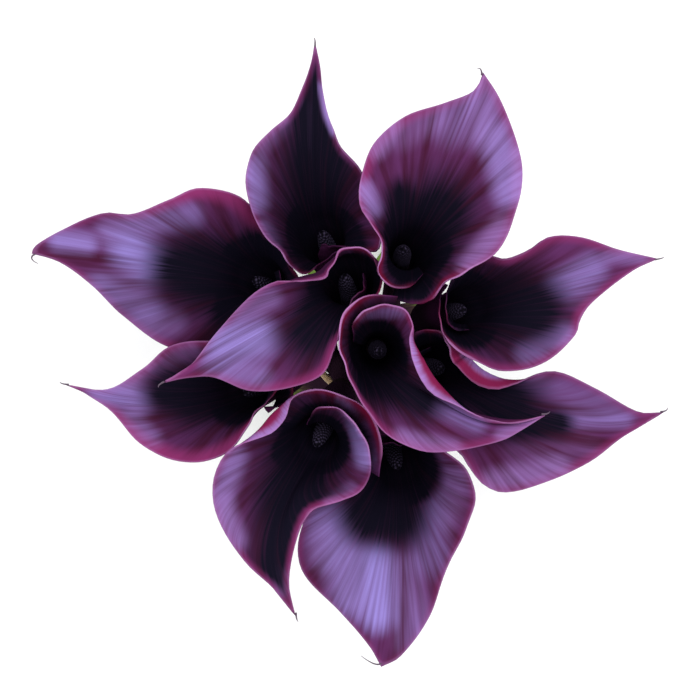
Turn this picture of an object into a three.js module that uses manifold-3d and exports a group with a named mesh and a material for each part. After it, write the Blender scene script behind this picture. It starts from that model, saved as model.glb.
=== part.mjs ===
// A hand-tied bunch of ten dark purple calla lilies that stands on its own cut stems.
// Millimetres, +Z up. The origin is on the table, under the middle of the bunch, and +Y is the
// top of the bunch as it is seen from above.
//
// Each flower has three pieces: the stem, the spadix (the finger-like spike of tiny florets that
// stands on the stem) and the spathe (the one rolled sheet that wraps the stem's top and opens
// into the funnel). The stems cross in a spiral at one tie and spread again below it.

import * as THREE from "three";
import { mergeVertices } from "three/addons/utils/BufferGeometryUtils.js";
import Module from "manifold-3d";

const wasm = await Module();
wasm.setup();

// Stems and tie.
const stemRadius = 3.5;
const tieHeight = 118; // where the stems cross
const tieCentre = [4, 3];
const outerStems = ["03", "02", "01", "10", "08", "07", "06", "04"]; // round the tie, anticlockwise
const innerStems = ["05", "09"];
const firstStemAngle = -40; // degrees, of the first outer stem and the first inner stem
const tieRadius = 11.1; // of the circle that the outer stems pass through at the tie
const innerTieRadius = 3.7;
const footRadius = 43; // of the circle that they stand on
const innerFootRadius = 15;
const spiral = 70; // degrees that an outer stem turns about the bunch between table and tie
const innerSpiral = 50;
const twineDiameter = 2.6;
const tieTurns = 4;
const tieSlack = 0.6; // between the stems and the twine

// Blooms.
const fit = 0.3; // clearance where one piece sits in or on another
const spatheThickness = 1.1;
const throatDrop = 26; // of the throat below the mouth
const throatRadius = 8.2;
const throatFollowing = 0.35; // how much of the tube's slope is left at the throat
const throatLean = 0.15; // how much the throat leans along the midrib, as a slope
const tubeLength = 30; // the rolled tube, from its foot on the stem to the throat
const stemInSpathe = 5;
const layerGapAtFoot = 2; // between the middles of the two layers where the margins overlap
const layerGapAtThroat = 3;
const tubeFootRadius = stemRadius + fit + spatheThickness / 2 + layerGapAtFoot * 0.7;
const riseShare = 0.72; // how far up towards its edge the sheet climbs before it bends out
const usualShoulder = [0.35, 0.08]; // see blooms
const leastFlare = 6; // a shoulder rises or dips as if the edge stood out at least this far
const roundOff = 0.1; // the shoulder is rounded off over this much of the edge to each side
const tipStretch = 0.3; // within this much of the edge from the tip
const swingStretch = 0.45; // the bloom's swing fades out over this much of the edge from the tip
const turnPace = 0.5; // the share of a margin's pace that goes by its turn about the throat
const turnFollowing = 0.6; // how closely a column of the tube stands under its own edge point
const spadixLength = 33;
const spadixRadius = 2.9;
const floretHeight = 0.35;

// Facets.
const stemSides = 8;
const stemSteps = 14;
const tubeRows = 3;
const limbRows = 8;
const sideColumns = 10; // on each side of the tip
const tipCrowding = 1.15; // over 1, the columns stand closer together towards the tip
const spadixSides = 8;
const spadixRings = 12;
const tieSides = 32;

// The ten blooms. height is that of the mouth; throat and foot are the middle of the throat and
// of the foot of the spathe as seen from above; midrib is the way it leaves the throat, in degrees
// anticlockwise from +X, and swing is how far it bows aside on its way to the tip; outer says
// which margin lies outside where the two overlap. spadixTop is the top of the spadix as seen
// from above, where the spadix doesn't follow the tube.
// left and right are the two margins, from where they overlap to the tip: x and y as seen from
// above, height over the mouth and, where it isn't usualShoulder, the shoulder of the sheet just
// inside its edge. That is how far it stands back, as a share of the way to the throat, how high
// it stands, as a slope, and, where the wall curls in, how far it is drawn out past the edge.
const blooms = [
  {
    name: "01",
    height: 245,
    throat: [-8, 41],
    foot: [-3, 28],
    midrib: 103,
    swing: [0, 0],
    outer: "left",
    left: [
      [-3, 36.5, -14], [-8, 33, -13], [-14.5, 28.2, -11.5], [-19, 30.8, -9],
      [-23, 35.5, -6], [-29, 42, -2], [-33, 51, 2], [-34.5, 59, 4], [-32.5, 69.5, 5],
      [-26.5, 76.5, 6], [-19.5, 82.5, 7], [-15, 92, 9], [-12, 100, 11], [-11, 106, 13],
    ],
    right: [
      [-9, 38.5, -16], [-3, 38.3, -13], [3, 36.9, -11], [9.3, 35.8, -10], [11.4, 38, -8],
      [12, 44, -6], [10.5, 50, -4], [7.5, 57, -1], [4, 64.5, 3], [-2, 71, 5], [-6, 80.5, 6],
      [-8.5, 90.5, 8], [-10, 101, 11], [-11, 106, 13],
    ],
  },
  {
    name: "02",
    height: 256,
    throat: [21, 36],
    foot: [18, 32],
    spadixTop: [19.3, 36.8],
    midrib: 68,
    swing: [0, 0],
    outer: "right",
    left: [
      [26, 28.5, -17], [20, 23, -8], [14, 24, -5], [10.5, 29, -4], [12, 38, -2], [8.5, 44, 0],
      [4, 51, 2], [5, 61.5, 3], [9, 72, 4], [19.5, 81, 5], [33, 85.5, 6], [43.5, 90, 8],
      [45.5, 95.5, 9],
    ],
    right: [
      [15, 20, -13], [22, 18, -12], [29, 19.5, -10], [33, 24.5, -6], [39.5, 28.5, -2], [51, 36, 1],
      [57.5, 51, 3], [59, 63.5, 4], [55.5, 77, 5], [50.5, 88, 7], [45.5, 95.5, 9],
    ],
  },
  {
    name: "03",
    height: 248,
    throat: [40, 17],
    foot: [28, 13.5],
    spadixTop: [40.8, 16.4],
    midrib: 6,
    swing: [0, 0],
    outer: "right",
    left: [
      [42, 9, -19], [37, 9, -15], [34.5, 13, -13], [34, 20, -12], [36, 27, -12], [42, 32.5, -10],
      [49, 34.5, -6], [54, 33.3, -3], [60, 35.2, 1], [68, 40.5, 4], [79, 40.5, 6], [92.5, 36, 8],
      [105, 33, 10],
    ],
    right: [
      [34, 25, -14], [31.5, 19, -11], [32.5, 11, -10], [35, 4, -9], [42, -0.5, -8], [53, -5, -3],
      [67, -2, 2], [77.5, 7.5, 4], [79.5, 14.5, 5], [89, 23.5, 7], [98, 30, 9], [105, 33, 10],
    ],
  },
  {
    name: "04",
    height: 240,
    throat: [31, -4],
    foot: [23, -3],
    midrib: -32,
    swing: [0, -14],
    outer: "left",
    left: [
      [21.5, 2.5, -13], [23, 8, -12], [27.5, 9.2, -10], [32, 8, -9], [35, 4, -7, 0.2, -0.1],
      [35.5, -0.5, -5.5, 0.1, -0.1], [39, -5, -4, -0.15, -0.35], [44.5, -9.8, -3, 0.1, -0.3, 5],
      [51, -11.3, -1, 0.1, -0.3, 4], [58.6, -8.4, 1, 0.05, -0.15], [70.5, -5, 3, 0.25, 0],
      [84, -10.5, 5], [99.5, -19, 8], [107.5, -19, 10],
    ],
    right: [
      [29, 3.5, -19], [24.5, 1, -14], [22, -7, -10], [24.5, -16.5, -7], [31.5, -27, -3],
      [40, -34, 1], [45, -42.5, 3], [53, -46.5, 4], [67.5, -43, 5], [82.5, -36, 6],
      [96, -26, 8], [107.5, -19, 10],
    ],
  },
  {
    name: "05",
    height: 264,
    throat: [10.5, 2],
    foot: [10, 3],
    midrib: -50,
    swing: [-2, -9],
    outer: "right",
    left: [
      [2, 5, -15], [2.5, 12, -6], [6, 16, -1], [13, 17.5, 1], [19, 16, 2], [21.5, 11, 3, 0.1, -0.1, 1],
      [21, 3.6, 4, 0.1, -0.2, 6], [23, -4.6, 5, 0.1, -0.3, 12], [28, -12.2, 6, 0.1, -0.3, 13],
      [38.3, -17.3, 8, 0.1, -0.2, 6], [47.8, -20.8, 9, 0.08, -0.02], [56.3, -22, 9.8, 0.3, 0, 0.3],
      [65.8, -19.6, 10, 0.35, -0.2],
    ],
    right: [
      [17, 20, -8], [9, 21, -6], [3, 19, -4.5], [-1.5, 15, -3.5], [-2.8, 9, -3], [-2, 2, -1],
      [2, -10.5, 2], [11.5, -24.5, 3], [24.5, -31.5, 4], [36.5, -31.5, 5], [52, -27.8, 7],
      [59, -24, 8.5], [65.8, -19.6, 10, 0.35, -0.2],
    ],
  },
  {
    name: "06",
    height: 238,
    throat: [17, -37],
    foot: [13, -22],
    midrib: -96,
    swing: [0, 0],
    outer: "left",
    left: [
      [7, -29, -14], [15, -27, -13], [24, -28, -9], [31.5, -31.5, -5], [40, -38, 0],
      [44, -48, 3], [40.5, -59, 4], [33.5, -73.5, 5], [28, -89, 6], [18, -102.5, 7],
      [11.5, -106, 7],
    ],
    right: [
      [19, -31, -15], [11, -30.5, -12.5], [4, -34, -11], [-3, -41, -8], [-12, -51, -4],
      [-17, -64, 1], [-15, -74.5, 3], [-2.5, -87.5, 5], [7.5, -99, 6], [11.5, -106, 7],
    ],
  },
  {
    name: "07",
    height: 252,
    throat: [-10, -29],
    foot: [-3, -14],
    midrib: -122,
    swing: [-14, 2],
    outer: "right",
    left: [
      [-14, -23.5, -16], [-10.5, -17.5, -8], [-1, -19, -3], [5, -26, -1], [8, -36, 0],
      [5.5, -44.5, 1], [-1.5, -49, 2], [-13.5, -53, 3], [-18, -65, 4], [-19.7, -77.5, 6],
      [-17.5, -87.5, 8],
    ],
    right: [
      [10.5, -41, -6], [12, -31, -6], [8.5, -20.5, -5], [0, -14, -5], [-11, -11, -4],
      [-19, -14, -3, 0.1, -0.2, 2], [-21, -20.5, -1, 0.1, -0.3, 8], [-25.4, -25.9, 0, 0.1, -0.3, 6.5],
      [-32, -28.6, 1, 0.15, -0.1, 1.5], [-40.5, -32, 2], [-45.5, -42, 3], [-44, -54.5, 4], [-35, -69, 5],
      [-24, -79.5, 6], [-17.5, -87.5, 8],
    ],
  },
  {
    name: "08",
    height: 239,
    throat: [-34, -12],
    foot: [-20, -6],
    midrib: 184,
    swing: [0, -6],
    outer: "right",
    left: [
      [-27, -6, -19], [-23, -10, -13], [-25.5, -13, -9.5], [-30.5, -18, -6], [-35, -25.5, -2],
      [-43, -34, 1], [-57, -36, 3], [-70, -30.5, 5], [-81, -18.5, 6], [-91, -11.5, 8],
      [-96, -9.5, 10],
    ],
    right: [
      [-29, -18, -14], [-23.5, -17.6, -13.5], [-19.5, -15, -13], [-19.5, -8, -12], [-27, -1, -10],
      [-36.5, 3.5, -7], [-49, 5.5, -2], [-61, 3.5, 1], [-70.5, -4.5, 4], [-83, -11.5, 7], [-96, -9.5, 10],
    ],
  },
  {
    name: "09",
    height: 259,
    throat: [-0.5, 25.5],
    foot: [2, 15],
    midrib: -140,
    swing: [0, 0],
    outer: "right",
    left: [
      [5.5, 28.5, -18], [5, 23, -12], [1, 18, -7], [-2.2, 12, -3], [-4, 4.5, -1, 0.3, 0], [-8, -5.5, 2],
      [-19.5, -10.5, 3], [-33, -11.5, 4], [-45, -7, 5], [-54, -7, 6.5], [-62.5, -9, 8],
    ],
    right: [
      [2, 16, -13], [9, 18.5, -11], [12, 26, -12], [10.2, 32, -12], [7, 36, -6], [2.5, 37, -2],
      [-3, 36, 0], [-5.5, 30, 1], [-8, 26, 1], [-15, 25.3, 2], [-23.6, 25.5, 2], [-32.5, 20.5, 3],
      [-44.5, 7.5, 5], [-53.5, -3.5, 7], [-62.5, -9, 8],
    ],
  },
  {
    name: "10",
    height: 241,
    throat: [-31, 26],
    foot: [-16, 18],
    midrib: 174,
    swing: [0, 0],
    outer: "right",
    left: [
      [-24, 30, -19], [-22.5, 21, -15], [-28, 13, -13], [-36, 6.5, -13], [-48, 2.5, -12],
      [-62, 3.4, -5], [-77.5, 14.5, 3], [-87.5, 24.5, 6], [-99.5, 33, 7], [-107.5, 35, 8],
    ],
    right: [
      [-17.5, 20.5, -14], [-17, 27.5, -13.5], [-20.5, 33, -13.5], [-24.5, 42, -12], [-31.5, 50, -7],
      [-38, 55.5, -1], [-50.5, 57.5, 3], [-61, 53.5, 4], [-74, 48.5, 5], [-83, 49, 6],
      [-96.5, 43.5, 7], [-106.5, 37.5, 8], [-107.5, 35, 8],
    ],
  },
];

const colours = {
  spathe: { color: 0x5b2a66, roughness: 0.45, metalness: 0 },
  spadix: { color: 0x2a1830, roughness: 0.8, metalness: 0 },
  stem: { color: 0x5d7a34, roughness: 0.5, metalness: 0 },
  tie: { color: 0xc2a06a, roughness: 0.9, metalness: 0 },
};

const radians = THREE.MathUtils.degToRad;
const mix = THREE.MathUtils.lerp;
const vector = (x, y, z) => new THREE.Vector3(x, y, z);
const up = vector(0, 0, 1);
const wrapped = (angle) => Math.atan2(Math.sin(angle), Math.cos(angle));

// The values at a place between knots, on a smooth curve through the points.
function pointAt(points, knots, place) {
  const last = points.length - 1;
  let i = 0;
  while (i < last - 1 && place > knots[i + 1]) i++;
  const span = knots[i + 1] - knots[i];
  const s = (place - knots[i]) / span;
  const slope = (k, n) => {
    const [from, to] = [Math.max(k - 1, 0), Math.min(k + 1, last)];
    return (span * (points[to][n] - points[from][n])) / (knots[to] - knots[from]);
  };
  return points[i].map(
    (start, n) =>
      start * (2 * s ** 3 - 3 * s ** 2 + 1) +
      slope(i, n) * (s ** 3 - 2 * s ** 2 + s) +
      points[i + 1][n] * (3 * s ** 2 - 2 * s ** 3) +
      slope(i + 1, n) * (s ** 3 - s ** 2),
  );
}

// Where a bloom's stem ends inside the rolled foot of its spathe, and the way it points there.
const footPoint = (bloom) => vector(...bloom.foot, bloom.height - throatDrop - tubeLength);
const throatPoint = (bloom) => vector(...bloom.throat, bloom.height - throatDrop);
const tubeDirection = (bloom) => throatPoint(bloom).sub(footPoint(bloom)).normalize();

// The stem: a straight run from the table to the tie, then a slow bend out to its bloom.
function stemGeometry(bloom) {
  const isInner = innerStems.includes(bloom.name);
  const place = isInner ? innerStems.indexOf(bloom.name) * 4 : outerStems.indexOf(bloom.name);
  const tieAngle = radians(firstStemAngle + (place * 360) / outerStems.length);
  const footAngle = tieAngle - radians(isInner ? innerSpiral : spiral);
  const around = (radius, angle, z) =>
    vector(tieCentre[0] + radius * Math.cos(angle), tieCentre[1] + radius * Math.sin(angle), z);

  const onTable = around(isInner ? innerFootRadius : footRadius, footAngle, 0);
  const onTie = around(isInner ? innerTieRadius : tieRadius, tieAngle, tieHeight);
  const top = footPoint(bloom);
  const lower = onTie.clone().sub(onTable);
  const upper = top.clone().sub(onTie);
  const throughTie = lower.clone().normalize().add(upper.clone().normalize()).normalize();
  const atTop = tubeDirection(bloom);

  const route = new THREE.CurvePath();
  route.add(
    new THREE.CubicBezierCurve3(
      onTable.clone().addScaledVector(lower, -0.05),
      onTable.clone().addScaledVector(lower, 0.3),
      onTie.clone().addScaledVector(throughTie, -lower.length() * 0.15),
      onTie,
    ),
  );
  route.add(
    new THREE.CubicBezierCurve3(
      onTie,
      onTie.clone().addScaledVector(throughTie, upper.length() * 0.2),
      top.clone().addScaledVector(atTop, -upper.length() * 0.22),
      top,
    ),
  );
  route.add(new THREE.LineCurve3(top, top.clone().addScaledVector(atTop, stemInSpathe)));

  const circle = new THREE.Shape().absarc(0, 0, stemRadius, 0, 2 * Math.PI);
  const rod = new THREE.ExtrudeGeometry(circle, {
    curveSegments: stemSides / 2,
    steps: stemSteps,
    extrudePath: route,
  });
  const belowTable = new THREE.BoxGeometry(400, 400, 100).translate(0, 0, -50);
  return geometryOf(solidOf(rod).subtract(solidOf(belowTable)));
}

// One margin of a bloom: its points with their shoulders and their share of the margin's turn about
// the throat, and its pace, which runs from 0 at the start to 1 at the tip, partly by distance and
// partly by that turn. A margin that swings back about the throat keeps the turn it has.
function marginOf(bloom, points) {
  const azimuths = points.map((p) => Math.atan2(p[1] - bloom.throat[1], p[0] - bloom.throat[0]));
  const knots = [0];
  const turns = [0];
  for (let i = 1; i < points.length; i++) {
    const [a, b] = [points[i - 1], points[i]];
    knots.push(knots[i - 1] + Math.hypot(b[0] - a[0], b[1] - a[1], b[2] - a[2]));
    turns.push(turns[i - 1] + wrapped(azimuths[i - 1] - azimuths[i]));
  }
  const [length, turn] = [knots.at(-1), turns.at(-1)];
  const turned = turns.map((_, i) => {
    const farthest = Math.max(...turns.slice(0, i + 1).map((soFar) => soFar / turn));
    return Math.min(1, farthest);
  });
  return {
    stations: points.map(([x, y, z, back = usualShoulder[0], lift = usualShoulder[1], curl = 0], i) => [
      ...[x, y, z, back, lift, curl],
      1 - turned[i],
    ]),
    pace: knots.map((knot, i) => mix(knot / length, turned[i], turnPace)),
    turn: turn + wrapped(azimuths.at(-1) - radians(bloom.midrib)),
  };
}

function spatheGeometry(bloom) {
  const foot = footPoint(bloom);
  const throat = throatPoint(bloom);
  const direction = tubeDirection(bloom);
  const midrib = radians(bloom.midrib);
  const throatAxis = vector(
    (direction.x / direction.z) * throatFollowing + Math.cos(midrib) * throatLean,
    (direction.y / direction.z) * throatFollowing + Math.sin(midrib) * throatLean,
    1,
  ).normalize();
  const margins = { left: marginOf(bloom, bloom.left), right: marginOf(bloom, bloom.right) };
  const outerSide = bloom.outer === "left" ? 1 : -1;

  // A point of the sheet's edge, with its shoulder, and the turn of its column from the midrib at
  // the tube's foot, where the columns stand evenly, and at the throat. place runs from -1 at the
  // start of the right margin over 0 at the tip to 1 at the start of the left margin.
  const edgeAt = (place) => {
    const { stations, pace, turn } = place > 0 ? margins.left : margins.right;
    const far = 1 - Math.abs(place) ** tipCrowding;
    const [x, y, z, back, lift, curl, fromTip] = pointAt(stations, pace, far);
    const evenTurn = Math.abs(place) * turn;
    const throatTurn = mix(evenTurn, fromTip * turn, turnFollowing);
    return { edge: vector(x, y, z + bloom.height), back, lift, curl, evenTurn, throatTurn };
  };

  // A point of the rolled tube: the two margins lie one outside the other where they overlap.
  const rollPoint = (centre, axis, radius, layerGap, turn) => {
    const out = radius + (layerGap / 2) * outerSide * (turn / Math.PI);
    const point = vector(out * Math.cos(midrib + turn), out * Math.sin(midrib + turn), 0);
    return point.applyQuaternion(new THREE.Quaternion().setFromUnitVectors(up, axis)).add(centre);
  };

  const column = (place) => {
    const { edge, back, lift, curl, evenTurn, throatTurn } = edgeAt(place);
    const points = [];
    for (let row = 0; row < tubeRows; row++) {
      const share = row / tubeRows;
      const axis = direction.clone().lerp(throatAxis, share ** 2).normalize();
      const radius = mix(tubeFootRadius, throatRadius, share ** 1.3);
      const gap = mix(layerGapAtFoot, layerGapAtThroat, share);
      const turn = mix(evenTurn, throatTurn, share);
      points.push(rollPoint(foot.clone().lerp(throat, share), axis, radius, gap, turn));
    }
    const start = rollPoint(throat, throatAxis, throatRadius, layerGapAtThroat, throatTurn);
    const frontness = (1 - Math.cos(Math.min(Math.abs(throatTurn), Math.PI))) / 2;
    const climb = start
      .clone()
      .addScaledVector(throatAxis, riseShare * (edge.z - start.z))
      .lerp(start.clone().lerp(edge, riseShare), frontness);
    const before = edgeAt(Math.max(place - roundOff, -1)).edge;
    const after = edgeAt(Math.min(place + roundOff, 1)).edge;
    const rounded = edge.clone().multiplyScalar(2).add(before).add(after).divideScalar(4);
    const nearTip = Math.max(0, 1 - Math.abs(place) / tipStretch);
    const swung = Math.max(0, 1 - Math.abs(place) / swingStretch);
    const flare = Math.max(leastFlare, Math.hypot(edge.x - climb.x, edge.y - climb.y));
    const shoulder = edge
      .clone()
      .lerp(rounded, nearTip)
      .lerp(climb, back)
      .add(vector(bloom.swing[0] * swung, bloom.swing[1] * swung, lift * flare))
      .addScaledVector(vector(after.y - before.y, before.x - after.x, 0).normalize(), curl);
    const limb = new THREE.CubicBezierCurve3(start, climb, shoulder, edge);
    return [...points, ...limb.getPoints(limbRows)];
  };

  const columns = [];
  for (let c = -sideColumns; c <= sideColumns; c++) columns.push(column(-c / sideColumns));
  return thickSheet(columns, spatheThickness);
}

// A closed sheet of an even thickness about a grid of points, given as columns.
function thickSheet(columns, thickness) {
  const rows = columns[0].length;
  const within = (list, i) => list[Math.min(Math.max(i, 0), list.length - 1)];
  const normal = (c, r) => {
    const along = within(columns[c], r + 1).clone().sub(within(columns[c], r - 1));
    const across = within(columns, c + 1)[r].clone().sub(within(columns, c - 1)[r]);
    return across.cross(along).normalize();
  };
  const positions = [];
  for (const side of [0.5, -0.5]) {
    columns.forEach((points, c) =>
      points.forEach((point, r) => {
        positions.push(...point.clone().addScaledVector(normal(c, r), side * thickness).toArray());
      }),
    );
  }
  const faces = [];
  const quad = (a, b, c, d) => faces.push(a, b, c, a, c, d);
  const front = (c, r) => c * rows + r;
  const back = (c, r) => columns.length * rows + c * rows + r;
  for (let c = 0; c < columns.length - 1; c++) {
    for (let r = 0; r < rows - 1; r++) {
      quad(front(c, r), front(c + 1, r), front(c + 1, r + 1), front(c, r + 1));
      faces.push(back(c, r), back(c + 1, r + 1), back(c + 1, r));
      faces.push(back(c, r), back(c, r + 1), back(c + 1, r + 1));
    }
    quad(front(c, 0), back(c, 0), back(c + 1, 0), front(c + 1, 0));
    quad(front(c, rows - 1), front(c + 1, rows - 1), back(c + 1, rows - 1), back(c, rows - 1));
  }
  const last = columns.length - 1;
  for (let r = 0; r < rows - 1; r++) {
    quad(front(0, r), front(0, r + 1), back(0, r + 1), back(0, r));
    quad(front(last, r), back(last, r), back(last, r + 1), front(last, r + 1));
  }
  return indexedGeometry(positions, faces);
}

// Where a spadix stands on its stem, just clear of it, and the way it points.
function spadixSeat(bloom) {
  const along = tubeDirection(bloom);
  const base = footPoint(bloom).addScaledVector(along, stemInSpathe + fit);
  if (!bloom.spadixTop) return { base, direction: along };
  const top = vector(...bloom.spadixTop, base.z + spadixLength);
  const direction = top.sub(base).normalize();
  base.addScaledVector(along, spadixRadius * Math.sin(along.angleTo(direction)));
  return { base, direction };
}

// The spadix: a blunt spike whose florets stand out in alternate rows.
function spadixGeometry() {
  const profile = [new THREE.Vector2(0, 0)];
  for (let ring = 0; ring <= spadixRings; ring++) {
    const share = ring / spadixRings;
    const taper = Math.max(0, share - 0.5) / 0.5;
    const radius = spadixRadius * Math.sqrt(1 - 0.93 * taper ** 2);
    profile.push(new THREE.Vector2(radius, share * spadixLength));
  }
  profile.push(new THREE.Vector2(0, spadixLength + 0.5));
  const spike = new THREE.LatheGeometry(profile, spadixSides);
  const position = spike.getAttribute("position");
  for (let i = 0; i < position.count; i++) {
    const ring = i % profile.length;
    const side = Math.floor(i / profile.length) % spadixSides;
    const isFloret = ring > 1 && ring < spadixRings && (ring + side) % 2 === 0;
    const radius = Math.hypot(position.getX(i), position.getZ(i));
    const grow = isFloret ? 1 + floretHeight / radius : 1;
    position.setX(i, position.getX(i) * grow);
    position.setZ(i, position.getZ(i) * grow);
  }
  return spike.rotateX(Math.PI / 2);
}

// The tie: twine wound round the stems, turn on turn.
function tieGeometry() {
  const inner = tieRadius + stemRadius + tieSlack;
  const profile = [new THREE.Vector2(inner, 0)];
  for (let turn = 0; turn < tieTurns; turn++) {
    const low = turn * twineDiameter;
    profile.push(new THREE.Vector2(inner + twineDiameter * 0.6, low + twineDiameter * 0.06));
    profile.push(new THREE.Vector2(inner + twineDiameter, low + twineDiameter * 0.3));
    profile.push(new THREE.Vector2(inner + twineDiameter, low + twineDiameter * 0.7));
    profile.push(new THREE.Vector2(inner + twineDiameter * 0.6, low + twineDiameter * 0.94));
  }
  const width = tieTurns * twineDiameter;
  profile.push(new THREE.Vector2(inner, width), new THREE.Vector2(inner, 0));
  return new THREE.LatheGeometry(profile, tieSides).rotateX(Math.PI / 2).translate(0, 0, -width / 2);
}

function indexedGeometry(positions, faces) {
  const geometry = new THREE.BufferGeometry();
  geometry.setAttribute("position", new THREE.Float32BufferAttribute(positions, 3));
  geometry.setIndex(faces);
  return geometry;
}

function solidOf(geometry) {
  const bare = geometry.clone().deleteAttribute("normal").deleteAttribute("uv");
  const welded = mergeVertices(bare, 1e-3);
  const mesh = new wasm.Mesh({
    numProp: 3,
    vertProperties: welded.getAttribute("position").array,
    triVerts: new Uint32Array(welded.getIndex().array),
  });
  return new wasm.Manifold(mesh);
}

function geometryOf(solid) {
  const { vertProperties, triVerts } = solid.getMesh();
  return indexedGeometry([...vertProperties], [...triVerts]);
}

function named(name, geometry, colour) {
  const mesh = new THREE.Mesh(geometry, new THREE.MeshStandardMaterial(colour));
  mesh.name = name;
  return mesh;
}

const bunch = new THREE.Group();
for (const bloom of blooms) {
  const spadix = named(`spadix_${bloom.name}`, spadixGeometry(), colours.spadix);
  const seat = spadixSeat(bloom);
  spadix.position.copy(seat.base);
  spadix.quaternion.setFromUnitVectors(up, seat.direction);
  bunch.add(
    named(`stem_${bloom.name}`, stemGeometry(bloom), colours.stem),
    named(`spathe_${bloom.name}`, spatheGeometry(bloom), colours.spathe),
    spadix,
  );
}
const tie = named("tie", tieGeometry(), colours.tie);
tie.position.set(...tieCentre, tieHeight);
bunch.add(tie);

export default bunch;
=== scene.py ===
import math
import random

import bpy
import numpy as np
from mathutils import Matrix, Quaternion, Vector


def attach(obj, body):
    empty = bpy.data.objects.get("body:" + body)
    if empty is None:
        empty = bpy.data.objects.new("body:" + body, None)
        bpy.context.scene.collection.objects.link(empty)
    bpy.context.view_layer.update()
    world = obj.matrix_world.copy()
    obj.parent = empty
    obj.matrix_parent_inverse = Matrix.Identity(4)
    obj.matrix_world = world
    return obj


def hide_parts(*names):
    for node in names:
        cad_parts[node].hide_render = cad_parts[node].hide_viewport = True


# A hand-tied bunch of ten dark purple calla lilies, standing on its cut stems.
# Shapes are worked out in millimetres and scaled to metres when a mesh is made.

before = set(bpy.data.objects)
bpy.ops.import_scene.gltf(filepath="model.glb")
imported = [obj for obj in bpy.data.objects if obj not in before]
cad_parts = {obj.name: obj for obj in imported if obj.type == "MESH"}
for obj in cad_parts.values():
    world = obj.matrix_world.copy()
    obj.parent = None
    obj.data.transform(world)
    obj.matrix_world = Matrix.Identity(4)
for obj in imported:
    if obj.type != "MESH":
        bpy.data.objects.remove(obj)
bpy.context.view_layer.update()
metresPerMm = 0.001
up = Vector((0, 0, 1))
print("frame loaded:", len(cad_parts), "nodes")

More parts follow.
